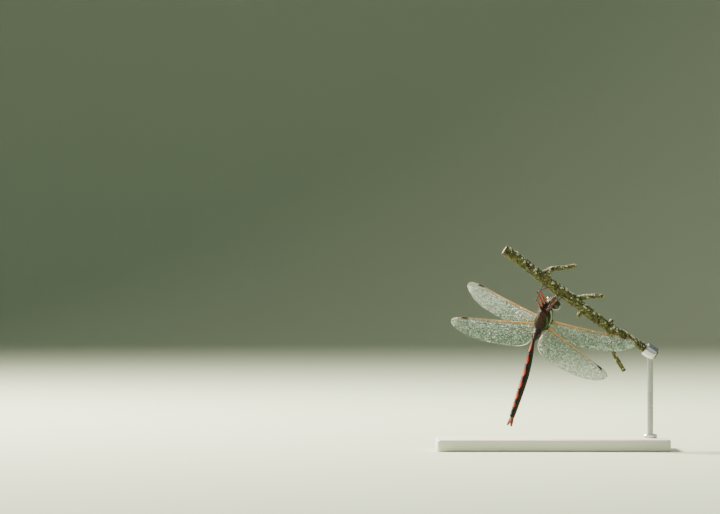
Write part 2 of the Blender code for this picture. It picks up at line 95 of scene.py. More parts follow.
TWIG_PATH = ((-24, -6.5, 100.1), (-18, -6.2, 96.1), (-12, -6, 91.7), (-6, -6, 87), (0, -6, 82.5),
             (6, -5.8, 78.2), (12, -5.5, 73.9), (18, -5, 68.9), (24, -4.2, 64.4), (30, -3.4, 60.2),
             (37, -2.8, 56.8), (44, -2.4, 52.4), (52, -2.2, 47.2))
TWIG_RADII = (2.6, 2.7, 2.6, 2.8, 2.9, 2.8, 2.6, 2.8, 2.7, 2.5, 2.2, 2.2, 2.2)
SHOOTS = (((-4, -6, 88), (0.5, -5, 90.6), (6, -3, 91), (12, -1.5, 92.2)),
          ((9, -5.6, 74.5), (14.5, -6.5, 76.2), (20, -8, 77), (25.5, -9, 77)),
          ((28, -3.4, 61), (29, -3, 54.5), (31, -2.4, 48), (36, -2, 39.5)),
          ((15, -5.3, 71.5), (14, -5.5, 69), (13.3, -5.7, 67.3), (13, -5.8, 66.4)),
          ((28.5, -3.6, 61.5), (29, -3.7, 63.5), (29.6, -3.8, 64.6), (29.9, -3.9, 65.3)))


# ---------------------------------------------------------------- shape helpers

def smooth_row(knots, at):
    """Values at some places on a smooth curve through rows of (place, value, ...): a cubic between
    each two rows whose slopes are the rows' own differences."""
    knots = np.asarray(knots, float)
    x, y = knots[:, 0], knots[:, 1:]
    slopes = np.gradient(y, x, axis=0)
    at = np.asarray(at, float)
    i = np.clip(np.searchsorted(x, at, side="right") - 1, 0, len(x) - 2)
    step = (x[i + 1] - x[i])[..., None]
    t = (at[..., None] - x[i][..., None]) / step
    a = y[i] * (1 + 2 * t) * (1 - t) ** 2 + slopes[i] * step * t * (1 - t) ** 2
    b = y[i + 1] * t ** 2 * (3 - 2 * t) + slopes[i + 1] * step * t ** 2 * (t - 1)
    return a + b


def circle(count):
    """That many angles spread evenly once round."""
    return np.linspace(0, WHOLE, count, endpoint=False)


def unit(v):
    """The vectors, each scaled to length one."""
    return v / np.maximum(np.linalg.norm(v, axis=-1, keepdims=True), 1e-12)


def placed(matrix, points):
    """Points carried from a frame of their own into the world."""
    m = np.array(matrix)
    return points @ m[:3, :3].T + m[:3, 3]


def lattice_noise(points, size, seed):
    """Smooth noise from -1 to 1: random values at the corners of cubes of that size, blended
    across each cube by an eased straight line."""
    table = np.random.default_rng(seed).uniform(-1, 1, (32, 32, 32))
    cell = np.asarray(points, float) / size
    base = np.floor(cell).astype(int)
    part = cell - base
    part = part * part * (3 - 2 * part)
    total = np.zeros(cell.shape[:-1])
    for corner in np.ndindex(2, 2, 2):
        near = np.prod(np.where(corner, part, 1 - part), axis=-1)
        index = (base + corner) % 32
        total = total + near * table[index[..., 0], index[..., 1], index[..., 2]]
    return total


def grid_normals(rings):
    """Outward directions on a tube's rings: across each ring times along the tube."""
    along = np.gradient(rings, axis=-3)
    around = np.roll(rings, -1, axis=-2) - np.roll(rings, 1, axis=-2)
    normal = unit(np.cross(around, along))
    out = rings - rings.mean(axis=-2, keepdims=True)
    sign = np.sign((normal * out).sum(axis=(-1, -2, -3), keepdims=True))
    return normal * np.where(sign == 0, 1, sign)


class Shell:
    """Closed surfaces gathered for one mesh: points, faces of four and of three corners, and
    named values and patch places for each point."""

    def __init__(self):
        """Nothing gathered yet."""
        self.points, self.quads, self.tris, self.values, self.count = [], [], [], {}, 0

    def tubes(self, rings, **values):
        """Adds tubes of shape (tubes, stations, around, 3), each closed by a fan at both ends.
        A value is given for each ring point, and the fans' middles take its end rings' mean."""
        rings = np.asarray(rings, float)
        if rings.ndim == 3:
            rings = rings[None]
            values = {key: np.asarray(value)[None] for key, value in values.items()}
        k, n, m, _ = rings.shape
        points = np.concatenate([rings.reshape(k, n * m, 3), rings[:, (0, -1)].mean(axis=2)], axis=1)
        i, j = (g.ravel() for g in np.meshgrid(np.arange(n - 1), np.arange(m), indexing="ij"))
        after = (j + 1) % m
        quads = np.stack([i * m + j, i * m + after, (i + 1) * m + after, (i + 1) * m + j], 1)
        j = np.arange(m)
        after = (j + 1) % m
        tris = np.vstack([np.stack([np.full(m, n * m), after, j], 1),
                          np.stack([np.full(m, n * m + 1), (n - 1) * m + j, (n - 1) * m + after], 1)])
        local = points - points.mean(axis=1, keepdims=True)
        a, b, c, d = (local[:, quads[:, q]] for q in range(4))
        volume = ((a * np.cross(b, c)).sum(-1) + (a * np.cross(c, d)).sum(-1)).sum(-1)
        flip = volume < 0
        starts = self.count + np.arange(k) * (n * m + 2)
        for faces, store in ((quads, self.quads), (tris, self.tris)):
            every = starts[:, None, None] + faces[None]
            every[flip] = every[flip][:, :, ::-1]
            store.append(every.reshape(-1, faces.shape[1]))
        for key in sorted(set(self.values) | set(values)):
            value = np.asarray(values.get(key, 0.0), float)
            if value.ndim < 4:
                value = np.broadcast_to(value, (k, n, m))
            tail = value.shape[3:]
            ends = value[:, (0, -1)].mean(axis=2)
            flat = np.concatenate([value.reshape(k, n * m, *tail), ends], axis=1).reshape(-1, *tail)
            earlier = self.values.setdefault(key, [np.zeros((self.count, *tail))] if self.count else [])
            earlier.append(flat)
        self.points.append(points.reshape(-1, 3))
        self.count += points.shape[0] * points.shape[1]
        return self


def solid(name, shell, finishes, replaces=(), index_of_quads=None):
    """One piece of the model from a gathered shell: its mesh, values, materials and body.
    Of two materials, the fan at the far end takes the one that the last ring of faces has."""
    points = np.vstack(shell.points) * MM
    quads, tris = np.vstack(shell.quads), np.vstack(shell.tris)
    mesh = bpy.data.meshes.new(name)
    corners = np.concatenate([quads.ravel(), tris.ravel()]).astype(np.int32)
    sizes = np.concatenate([np.full(len(quads), 4), np.full(len(tris), 3)])
    mesh.vertices.add(len(points))
    mesh.vertices.foreach_set("co", points.astype(np.float32).ravel())
    mesh.loops.add(len(corners))
    mesh.loops.foreach_set("vertex_index", corners)
    mesh.polygons.add(len(sizes))
    mesh.polygons.foreach_set("loop_start", np.concatenate([[0], np.cumsum(sizes)[:-1]]).astype(np.int32))
    mesh.update(calc_edges=True)
    for key, parts in shell.values.items():
        value = np.concatenate(parts)
        if key == "OFBake":
            mesh.uv_layers.new(name=key).data.foreach_set("uv", value[corners].astype(np.float32).ravel())
        else:
            mesh.attributes.new(key, "FLOAT", "POINT").data.foreach_set("value", value.astype(np.float32))
    mesh.shade_smooth()
    for finish in finishes:
        mesh.materials.append(finish)
    if index_of_quads is not None:
        index = np.concatenate([index_of_quads, np.zeros(len(tris))]).astype(np.int32)
        index[len(quads) + len(tris) // 2:] = index_of_quads[-1]
        mesh.polygons.foreach_set("material_index", index)
    mesh.validate()
    item = bpy.data.objects.new(name, mesh)
    bpy.context.scene.collection.objects.link(item)
    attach(item, "root")
    if replaces:
        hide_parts(*replaces)
    return item


def path_frames(paths):
    """Two directions across each path, square to its heading, the first kept near the world
    axis that the path runs along least."""
    along = unit(np.gradient(paths, axis=-2))
    least = np.abs(along.mean(axis=-2)).argmin(axis=-1)
    keep = np.eye(3)[least][..., None, :]
    first = unit(keep - along * (along * keep).sum(-1, keepdims=True))
    return first, np.cross(along, first)


def tube_rings(paths, radii, sides=8, flat=1.0):
    """Rings carried along paths of shape (..., stations, 3), with a radius for each station."""
    paths = np.asarray(paths, float)
    first, second = path_frames(paths)
    turn = circle(sides)[:, None]
    radius = np.asarray(radii, float)[..., None, None]
    across = first[..., None, :] * np.cos(turn) + second[..., None, :] * (np.sin(turn) * flat)
    return paths[..., None, :] + across * radius


def lobe(centre, halves, rings=18, around=28, power=2.0, sides=None, blunt=1.0):
    """A rounded lump about a centre: rings from its back pole to its front pole, each a rounded
    oval, whose size is the sine of the way along, to the power of blunt; sides may tilt it by
    giving its three axes."""
    t = np.linspace(0.04, math.pi - 0.04, rings)[:, None]
    a = circle(around)[None, :]
    c, s = np.cos(a), np.sin(a)
    y = np.sin(t) ** blunt * np.sign(c) * np.abs(c) ** (2 / power)
    z = np.sin(t) ** blunt * np.sign(s) * np.abs(s) ** (2 / power)
    x = -np.cos(t) * np.ones_like(a)
    local = np.stack([x, y, z], -1) * np.asarray(halves, float)
    return np.asarray(centre, float) + (local if sides is None else local @ np.asarray(sides, float))


def spikes(roots, headings, lengths, radius, sides=4, bend=None):
    """Tapered spines: each runs from its root along its heading, bending by a share of its length."""
    roots, headings = np.asarray(roots, float), unit(np.asarray(headings, float))
    t = np.array([0.0, 0.55, 1.0])
    lengths = np.asarray(lengths, float)
    paths = roots[:, None] + headings[:, None] * (lengths[:, None] * t)[..., None]
    if bend is not None:
        paths = paths + np.asarray(bend, float)[:, None] * (lengths[:, None] * t ** 2)[..., None]
    return tube_rings(paths, np.broadcast_to(np.array([1.0, 0.62, 0.06]) * radius, paths.shape[:2]), sides)


# ---------------------------------------------------------------- frames of the body

def body_matrix():
    """The body's frame: upright with its back to +Y, turned, leaned back, then leaned sideways."""
    upright = Matrix(((0, 1, 0), (0, 0, 1), (1, 0, 0))).to_4x4()
    lean = Matrix.Rotation(BODY_LEAN, 4, "Y") @ Matrix.Rotation(-BODY_BACK, 4, "X")
    return Matrix.Translation(Vector(THORAX_AT)) @ lean @ Matrix.Rotation(BODY_TURN, 4, "Z") @ upright


BODY = body_matrix()
HEAD = BODY @ Matrix.Translation(Vector(HEAD_PIVOT)) @ Matrix.Rotation(HEAD_YAW, 4, "Z")


def abdomen_frames(lengths):
    """Middle, heading, right side and back of the abdomen at lengths down it: the heading leans
    and tips as the two tables say, and short steps of it are summed."""
    step = 0.05
    fine = np.arange(0, sum(SEGMENT_LENGTHS) + 8, step)
    lean = np.radians(np.interp(fine, *np.transpose(ABDOMEN_LEAN)))
    forward = np.radians(np.interp(fine, *np.transpose(ABDOMEN_FORWARD)))
    heading = np.column_stack([-np.sin(lean) * np.cos(forward), -np.sin(forward),
                               -np.cos(lean) * np.cos(forward)])
    start = np.array(BODY @ Vector(ABDOMEN_START))
    middle = start + np.vstack([np.zeros(3), np.cumsum(heading[:-1] * step, axis=0)])
    at = np.asarray(lengths, float)
    place = np.stack([np.interp(at, fine, middle[:, c]) for c in range(3)], -1)
    along = unit(np.stack([np.interp(at, fine, heading[:, c]) for c in range(3)], -1))
    back = np.array(BODY.to_3x3() @ Vector((0, 0, 1)))
    up = unit(back - along * (along @ back)[..., None])
    return place, along, np.cross(up, along), up


def blade(wing, side, u, v, lift=0.0):
    """Points of a wing, u from hinge to tip and v from leading to trailing edge, as arrays of one
    shape. The edges bow and close on the tip, and the blade is lightly arched and pleated."""
    u, v = np.broadcast_arrays(np.asarray(u, float), np.asarray(v, float))
    sweep, rise = math.radians(wing["sweep"]), math.radians(wing["rise"])
    span = np.array([-math.sin(sweep), side * math.cos(sweep) * math.cos(rise),
                     math.cos(sweep) * math.sin(rise)])
    chord = np.array([-math.cos(sweep), -side * math.sin(sweep), 0.0])
    normal = np.cross(span, chord) * -side
    lead, trail = wing_edges(wing, u)
    depth = (trail - lead) * v
    pleat = 0.11 * np.sin(depth * WHOLE / 1.9) * np.exp(-depth / 3.5) * (1 - 0.6 * u)
    height = 0.5 * np.sin(math.pi * v) - 0.9 * u ** 2 + pleat + lift
    flat = np.array(wing["hinge"]) * (1, side, 1) + span * (wing["length"] * u)[..., None]
    return placed(BODY, flat + chord * (lead + depth)[..., None] + normal * height[..., None])


def wing_edges(wing, u):
    """How far the leading and trailing edges lie behind the line from hinge to tip."""
    u = np.clip(u, 0, 1)
    lead = -(wing["lead"][0] + wing["lead"][1] * u ** 2) * np.sqrt(1 - u ** 14)
    power, shape = wing["taper"]
    trail = wing["trail"] * (1 - np.exp(-(u + 0.005) / wing["root"])) * (1 - u ** power) ** shape
    return lead, trail


# ---------------------------------------------------------------- materials

def paint(code):
    """An sRGB hex colour as linear red, green, blue and one."""
    parts = np.array([int(code[i:i + 2], 16) for i in (1, 3, 5)]) / 255
    linear = np.where(parts <= 0.04045, parts / 12.92, ((parts + 0.055) / 1.055) ** 2.4)
    return (*linear.tolist(), 1.0)


class Finish:
    """A material in the making: its nodes, its shader, and the object place its patterns read."""

    def __init__(self, name, **constants):
        """A new material with its shader's constant inputs set."""
        self.material = bpy.data.materials.new(name)
        self.material.use_nodes = True
        self.tree = self.material.node_tree
        self.shader = self.tree.nodes["Principled BSDF"]
        for key, value in constants.items():
            self.shader.inputs[key.replace("_", " ")].default_value = value
        self.place = self.add("TexCoord").outputs["Object"]

    def add(self, kind, inputs=(), **settings):
        """Adds one shader node with its settings, and links or sets its inputs."""
        node = self.tree.nodes.new("ShaderNode" + kind)
        for key, value in settings.items():
            setattr(node, key, value)
        for key, value in dict(inputs).items():
            if isinstance(value, bpy.types.NodeSocket):
                self.tree.links.new(value, node.inputs[key])
            else:
                node.inputs[key].default_value = value
        return node

    def spaced(self, millimetres, **others):
        """The inputs of a pattern whose parts are about that many millimetres across."""
        return {"Vector": self.place, "Scale": 1 / (millimetres * MM), **others}

    def clouds(self, millimetres, detail=4.0, rough=0.6):
        """The inputs of a cloudy pattern: detail adds finer clouds, and rough makes them stronger."""
        return self.spaced(millimetres, Detail=detail, Roughness=rough)

    def source(self, value):
        """A pattern as it is, or the value that the surface's points store under a name."""
        if isinstance(value, str):
            value = self.add("Attribute", attribute_name=value).outputs["Fac"]
        return value

    def layers(self, base, *coats):
        """A base colour with coats laid over it in turn, each shown through its own mask. A colour
        is a hex value or a pattern, and a mask is a stored value's name or a pattern."""
        for mask, colour in coats:
            under, over = (paint(c) if isinstance(c, str) else c for c in (base, colour))
            inputs = {0: self.source(mask), 6: under, 7: over}
            base = self.add("Mix", inputs, data_type="RGBA").outputs[2]
        return base

    def mottle(self, millimetres, dark, light, detail=4.0):
        """Cloudy patches of two colours, about that many millimetres across."""
        cloud = self.add("TexNoise", self.clouds(millimetres, detail)).outputs["Fac"]
        return self.layers(dark, (cloud, light))

    def uneven(self, value, millimetres, amount):
        """A value shifted by clouds, so that the edge of a marking made from it isn't ruled."""
        cloud = self.add("TexNoise", self.clouds(millimetres)).outputs["Fac"]
        shift = self.add("Math", {0: cloud, 1: 0.5}, operation="SUBTRACT").outputs[0]
        inputs = {0: shift, 1: amount, 2: self.source(value)}
        return self.add("Math", inputs, operation="MULTIPLY_ADD").outputs[0]

    def mask(self, value, low, high, wobble=None):
        """A mask that runs smoothly from 0 where a value is low to 1 where it is high. A wobble
        gives the size of its edge's waves in millimetres and how far they shift the value."""
        value = self.uneven(value, *wobble) if wobble else self.source(value)
        inputs = {"Value": value, "From Min": low, "From Max": high}
        return self.add("MapRange", inputs, interpolation_type="SMOOTHSTEP").outputs["Result"]

    def patches(self, millimetres, low, high, detail=4.0):
        """A mask of cloudy patches, 0 where the clouds are at low and 1 where they are at high."""
        return self.mask(self.add("TexNoise", self.clouds(millimetres, detail)).outputs["Fac"], low, high)

    def dress(self, colour, height=None, depth=0.0, strength=1.0, rough=None):
        """Joins the shader to its colour, to a bump of that real depth in millimetres and to a
        varying roughness, and gives the material. A height that is a number is cloudy grain of
        that size."""
        joins = {"Base Color": colour}
        if height is not None:
            if isinstance(height, float):
                height = self.add("TexNoise", self.clouds(height)).outputs["Fac"]
            inputs = {"Height": height, "Distance": depth * MM, "Strength": strength}
            joins["Normal"] = self.add("Bump", inputs).outputs["Normal"]
        if rough is not None:
            joins["Roughness"] = rough
        for key, value in joins.items():
            self.tree.links.new(value, self.shader.inputs[key])
        return self.material


STRIPE_EDGE = (-0.08, 0.1)        # how softly the green stripes start, on the skin and its coat
LENS_SPACING = 0.14               # the eye's drawn lenses, about five times too coarse
GLINT_PANE_SPACING = 0.95               # the wing's cells that share one painted glint
YEAR_RING = 0.5


def thorax_cuticle():
    """Hard thorax cuticle: chitin, waxy and finely grained. Dark brown with two slanting green
    stripes on each side, redder below."""
    skin = Finish("waxy_thorax_cuticle", IOR=1.55, Specular_IOR_Level=0.16)
    green = skin.layers("#16820E", ("pale", "#96AE98"))
    colour = skin.layers(
        skin.mottle(0.9, "#0D0804", "#2C1B0D"),
        (skin.mask("belly", 0.2, 0.9, (0.8, 0.7)), skin.mottle(0.5, "#200E06", "#4A2614")),
        (skin.mask("stripe", *STRIPE_EDGE, (0.5, 0.25)), green),
        ("seam", "#150C06"))
    return skin.dress(colour, 0.14, 0.05, 0.7, skin.patches(0.35, -0.6, 1.5))


def abdomen_cuticle():
    """Abdomen cuticle: harder and a little glossier than the thorax. Near black with a green cast,
    orange plates along the belly, small blue-green spots on the back and dark rings at the joints."""
    skin = Finish("glossy_abdomen_cuticle", IOR=1.56, Specular_IOR_Level=0.2, Coat_Weight=0.04,
                  Coat_Roughness=0.15)
    plate = skin.layers("#701200", ("glow", "#BE4A00"), (skin.patches(0.35, 0.35, 0.8), "#7C1C00"))
    colour = skin.layers(
        skin.mottle(0.8, "#070504", "#1A110A"),
        ("green_cast", "#0F160B"),
        (skin.mask("spot", -0.06, 0.08, (0.5, 0.3)), skin.mottle(0.4, "#35553A", "#5C7A58")),
        (skin.mask("plate", -0.08, 0.12, (0.45, 0.35)), plate),
        ("ring", "#0E0906"))
    return skin.dress(colour, 0.12, 0.04, 0.6, skin.patches(0.5, -1.3, 1.7))


def coat_hair():
    """Fine body hair: straw-coloured bristles that carry the skin's marking at the root."""
    hair = Finish("pale_body_hair", Roughness=0.5, IOR=1.55, Specular_IOR_Level=0.3, Sheen_Weight=0.1)
    colour = hair.layers(
        "#22150A",
        (hair.mask("stripe", *STRIPE_EDGE), hair.layers("#2FAE22", ("pale", "#C4CFB8"))),
        (hair.mask("out", 0.3, 1.2), hair.mottle(0.9, "#443524", "#C4B28E")))
    return hair.dress(colour)


def eye_lens():
    """Compound eye: thousands of clear lenses over dark pigment, wet-looking. Green-black above
    and olive below. The lenses are drawn about five times too coarse, to show at all."""
    eye = Finish("compound_eye_lenses", Roughness=0.24, IOR=1.42, Specular_IOR_Level=0.3,
                 Coat_Weight=0.15, Coat_Roughness=0.05)
    colour = eye.layers(
        eye.mottle(1.6, "#080C08", "#162014", 2.0),
        (eye.mask("height", 0.1, -1.6), eye.mottle(1.2, "#20281A", "#38381E", 2.0)))
    lens = eye.add("TexVoronoi", eye.spaced(LENS_SPACING, Randomness=0.35)).outputs["Distance"]
    dome = eye.add("Math", {0: 1.0, 1: lens}, operation="SUBTRACT").outputs[0]
    return eye.dress(colour, dome, 0.03, 0.5)


def face_cuticle():
    """Face and jaws: smooth, slightly waxy cuticle. Bands of pale olive and dark brown across the
    face, partly the face's own pale plates and partly painted sunlight and shade lying across them,
    brown in its grooves and dark behind."""
    skin = Finish("face_cuticle", IOR=1.54, Specular_IOR_Level=0.22, Coat_Weight=0.06,
                  Coat_Roughness=0.25)
    colour = skin.layers(
        skin.mottle(0.6, "#120C07", "#2C1E12"),
        # pale bands: partly the plates' own colour, partly painted light
        (skin.uneven("face", 0.5, 0.15), skin.mottle(0.7, "#82763E", "#C6BA84")),
        ("edge", "#3A2414"))
    return skin.dress(colour, 0.12, 0.04, 0.5, skin.patches(0.3, -0.8, 1.8))


def horn_black():
    """Claws, spines and feelers: the hardest, darkest cuticle, smooth with a sharp gloss."""
    horn = Finish("black_horn", IOR=1.56, Roughness=0.28, Specular_IOR_Level=0.3)
    return horn.dress(horn.mottle(0.3, "#0D0907", "#2A1A12"), 0.08, 0.02, 0.6)


def leg_cuticle():
    """Leg cuticle: lightly glossy, red-orange on the thigh with painted shade down one side of it,
    near black at the knee and down the shin, with reddish feet."""
    leg = Finish("glossy_leg_cuticle", IOR=1.56, Specular_IOR_Level=0.2, Coat_Weight=0.05,
                 Coat_Roughness=0.12)
    reach = leg.uneven("reach", 0.6, 0.12)
    thigh = leg.layers(
        "#7A1400",
        (leg.patches(0.5, 0.3, 0.7), "#C83A00"),
        # painted shade: the thigh's side turned from the light is dark brown
        (leg.mask("outer", -0.05, 0.3, (0.8, 0.2)), leg.mottle(0.5, "#180A06", "#3A170C")))
    lower = leg.layers(
        leg.mottle(0.5, "#120A08", "#34180F"),
        (leg.mask(reach, 1.75, 2.15), leg.mottle(0.4, "#3A1A12", "#7A4636")))
    colour = leg.layers(
        leg.mottle(0.5, "#1A0C07", "#3A180C"),
        (leg.mask(reach, 0.22, 0.36), thigh),
        (leg.mask(reach, 0.84, 0.95), lower))
    return leg.dress(colour, 0.1, 0.03, 0.5, leg.patches(0.4, -0.7, 2.0))


def tail_cuticle():
    """Tail claspers: leaf-like plates of reddish-brown cuticle, with a pale painted highlight along their
    thin edges.
    """
    tail = Finish("clasper_cuticle", IOR=1.55, Coat_Weight=0.2, Coat_Roughness=0.25)
    # painted highlight: the pale colour along the thin edges
    colour = tail.layers(tail.mottle(0.6, "#2C0E06", "#84340F"), ("dark", "#1C0F08"), ("thin", "#C98E68"))
    return tail.dress(colour, 0.15, 0.04, 0.7, tail.patches(0.3, -0.7, 1.8))


def wing_membrane():
    """Wing membrane: two layers of clear chitin a few thousandths of a millimetre thick, crinkled
    between the veins. Its colour is painted light: a dark green to faint blue-green film that stands
    for green surroundings seen through it, and silver panes that are painted glints off the
    crinkles. The crinkle is drawn stronger than a real one, to show at this size."""
    film = Finish("clear_wing_membrane", Alpha=0.3, Roughness=0.2, IOR=1.57, Specular_IOR_Level=0.75,
                  Coat_Weight=0.35, Coat_Roughness=0.12)
    glint_cells = film.add("TexVoronoi", film.spaced(GLINT_PANE_SPACING)).outputs["Color"]
    glint_chance = film.add("SeparateColor", {"Color": glint_cells}).outputs[0]
    # Painted light: the green mottle stands for green surroundings seen through the clear film, and the pale
    # panes are painted glints. The amber near the root is the membrane's own tint.
    colour = film.layers(
        film.mottle(3.5, "#04461A", "#1A6A44"),
        (film.mask(glint_chance, 0.5, 0.95), "#D0F4DE"),
        ("amber", "#D8A860"))
    cells = film.add("TexVoronoi", film.spaced(0.8)).outputs["Distance"]
    cloud = film.add("TexNoise", film.clouds(0.6)).outputs["Fac"]
    crinkle = film.add("Math", {0: cloud, 1: 0.6, 2: cells}, operation="MULTIPLY_ADD").outputs[0]
    return film.dress(colour, crinkle, 0.45, 1.0)


def wing_vein():
    """Wing veins: fine tubes of hard, glossy cuticle. Green-grey with painted silver glints in patches,
    browner where stout, amber along the leading edge and pale horn along the hind margin near the body."""
    vein = Finish("wing_vein_cuticle", IOR=1.57, Roughness=0.24, Specular_IOR_Level=0.8)
    colour = vein.layers(
        "#46654A",
        # painted glints: near-white patches along the veins
        (vein.patches(0.9, 0.42, 0.62), "#F6FFF2"),
        ("stout", "#6A5A3C"),
        ("amber", vein.mottle(0.9, "#B46C00", "#E8A414")),
        ("pale", "#F1ECE0"))
    return vein.dress(colour, 0.1, 0.03, 0.6)


def stigma_cuticle():
    """Wing stigma: a thick pigmented cell, very dark brown and slightly waxy."""
    cell = Finish("dark_wing_stigma", IOR=1.55, Roughness=0.45, Specular_IOR_Level=0.12)
    return cell.dress(cell.mottle(0.4, "#0A0402", "#221009"), 0.15, 0.05, 0.6)


def twig_bark():
    """Bark of a thin dead hardwood twig: dark olive-brown cork with fine lengthwise cracks, pale
    raised pores and ridges, and a green film of algae in patches."""
    bark = Finish("dry_twig_bark", IOR=1.45, Roughness=0.85)
    coarse = bark.add("TexNoise", bark.clouds(1.6, 8.0, 0.7)).outputs["Fac"]
    pores = bark.add("TexVoronoi", bark.spaced(0.9)).outputs["Distance"]
    colour = bark.layers(
        "#0C0A05",
        (bark.mask(coarse, 0.38, 0.62), "#5E5C2C"),
        (bark.patches(3.0, 0.5, 0.64, 6.0), bark.layers("#161A06", (coarse, "#56601C"))),
        (bark.mask(pores, 0.2, 0.08, (0.2, 0.25)), "#8C8066"),
        (bark.mask("relief", -0.1, -0.6), "#16110B"),
        (bark.mask("relief", 0.25, 0.8), bark.layers("#8F8A70", (coarse, "#C2BEA6"))))
    grain = bark.add("TexNoise", bark.clouds(0.35, 6.0, 0.7)).outputs["Fac"]
    height = bark.add("Math", {0: grain, 1: 0.7, 2: coarse}, operation="MULTIPLY_ADD").outputs[0]
    return bark.dress(colour, height, 0.3, 0.9)


def lichen_crust():
    """Crusty lichen: dry, chalky and pale green-grey, a few crusts orange."""
    crust = Finish("chalky_lichen", IOR=1.4, Roughness=0.95)
    colour = crust.layers(
        "#7E8468",
        (crust.patches(0.5, 0.35, 0.65, 6.0), "#C9CBB2"),
        ("orange", crust.mottle(0.5, "#B4561C", "#D98438")))
    grain = crust.add("TexNoise", crust.clouds(0.2, 6.0)).outputs["Fac"]
    return crust.dress(colour, grain, 0.12, 0.9)


def cut_wood():
    """Sawn end of the twig: pale dry wood with darker year rings half a millimetre apart."""
    wood = Finish("sawn_twig_wood", IOR=1.45, Roughness=0.75)
    inputs = {0: wood.source("out"), 1: WHOLE / YEAR_RING}
    turns = wood.add("Math", inputs, operation="MULTIPLY").outputs[0]
    rings = wood.add("Math", {0: wood.uneven(turns, 0.6, 2.0)}, operation="SINE").outputs[0]
    return wood.dress(wood.layers("#C9AE82", (wood.mask(rings, -1.0, 1.0), "#A98656")), rings, 0.03, 0.5)


def painted_board():
    """Painted wooden base: satin off-white paint over wood, with brush marks along it."""
    board = Finish("satin_painted_wood", IOR=1.5, Coat_Weight=0.1, Coat_Roughness=0.4)
    colour = board.mottle(14.0, "#D9D5C9", "#E3E0D6")
    gloss = board.patches(2.0, -0.7, 1.9)
    along = {"Vector": board.place, "Scale": (0.06, 1.0, 1.0)}
    board.place = board.add("Mapping", along).outputs[0]
    return board.dress(colour, 0.7, 0.04, 0.5, gloss)


def brushed_steel():
    """Brushed stainless steel: grey metal with fine scratches that run round the rod."""
    steel = Finish("brushed_stainless_steel", Metallic=1.0, Anisotropic=0.4)
    around = {"Vector": steel.place, "Scale": (0.15, 0.15, 1.0)}
    steel.place = steel.add("Mapping", around).outputs[0]
    colour = steel.mottle(0.5, "#9FA1A3", "#BDBFC1")
    return steel.dress(colour, 0.15, 0.01, 0.4, steel.patches(0.2, -0.6, 2.4))


# ---------------------------------------------------------------- body skin and coat

AROUND = 112
TRUNK_ROWS = 150
NECK_ROWS = 36
ABDOMEN_ROWS = 400
SLANT = 1.0                       # the side seams run back one for each one up
SEAM_LINES = (3.6, -1.3, -2.7, -6.0)
STRIPES = ((0.6, 1.0), (-4.25, 0.42))   # middle and half width, along the slant
PALE_DOTS = (0.1, -3.1)           # places along the back of the pale dots between the wings
BACK_GROOVES = (1.5, -0.75, -1.75, -3.9)   # grooves across the back between the wings


def ridge(distance, width):
    """One on a line, falling smoothly to nothing at about twice the width."""
    return np.exp(-(distance / width) ** 2)


def trunk_marks(p):
    """Stripe, paleness, seam and belly values at points of the thorax in the body's frame."""
    x, y, z = p[..., 0], np.abs(p[..., 1]), p[..., 2]
    slant = x + SLANT * z
    flank = np.clip((y - 1.6) / 1.2, 0, 1)
    across = [(half - np.abs(slant - middle)) / math.sqrt(2) for middle, half in STRIPES]
    ends = [np.minimum(z + 4.3, 2.6 - z), np.minimum(np.minimum(z + 4.9, 0.2 - z), x + 5.2)]
    parts = [np.minimum(a, e * 0.5) - (1 - flank) * 1.5 for a, e in zip(across, ends)]
    stripe = np.where(x < 5.6, np.maximum(*parts), -1.0)
    dots = np.max([0.42 - np.hypot((x - at) * 0.8, y - 0.28) for at in PALE_DOTS], axis=0)
    dots = np.where(z > 2, dots, -1.0)
    seam = np.max([ridge(slant - line, 0.16) for line in SEAM_LINES], axis=0) * flank
    collar = ridge(x - 6.35, 0.12)
    carina = ridge(y, 0.12) * np.clip((x - 0.8) / 1.0, 0, 1) * (z > 0)
    belly = np.clip((-z - 2.6) / 1.6, 0, 1) * np.clip((3.4 - y) / 1.5, 0, 1)
    pale = (parts[0] > parts[1]) | (dots > -0.2)
    seam = np.clip(np.maximum(np.maximum(seam, collar * 0.7), carina * 0.5), 0, 1)
    return dict(stripe=np.maximum(stripe, dots), pale=pale * 1.0, belly=belly, seam=seam)


def trunk_relief(p, marks):
    """Height in millimetres on the thorax: sunk seams, a ridge down the front of the back, a
    hollow between the wings, and swellings over the leg and wing roots."""
    x, y, z = p[..., 0], np.abs(p[..., 1]), p[..., 2]
    slant = x + SLANT * z
    flank = np.clip((y - 1.2) / 1.2, 0, 1)
    seams = sum(ridge(slant - line, 0.28) for line in SEAM_LINES) * flank
    keel = ridge(y, 0.22) * np.clip((x - 0.8) / 1.0, 0, 1) * (z > 0)
    between = np.clip((z - 2.6) / 1.0, 0, 1) * np.clip((2.4 - x) / 0.8, 0, 1) * np.clip((x + 5.6) / 0.8, 0, 1)
    hollow = between * ridge(y - 1.75, 0.55)
    grooves = between * sum(ridge(x - at + 0.25 * y, 0.16) for at in BACK_GROOVES)
    crown = between * ridge(y, 0.75) * (0.4 + 0.6 * np.cos((x - 0.2) * WHOLE / 3.3))
    keel_below = ridge(y, 0.3) * np.clip((-z - 3.0) / 1.0, 0, 1)
    grain = 0.035 * lattice_noise(p, 0.7, 3) + 0.02 * lattice_noise(p, 0.3, 4)
    return (-0.16 - 0.14 * seams + 0.12 * keel - 0.6 * hollow + 0.14 * crown - 0.2 * grooves
            - 0.18 * keel_below + grain - 0.08 * marks["seam"])


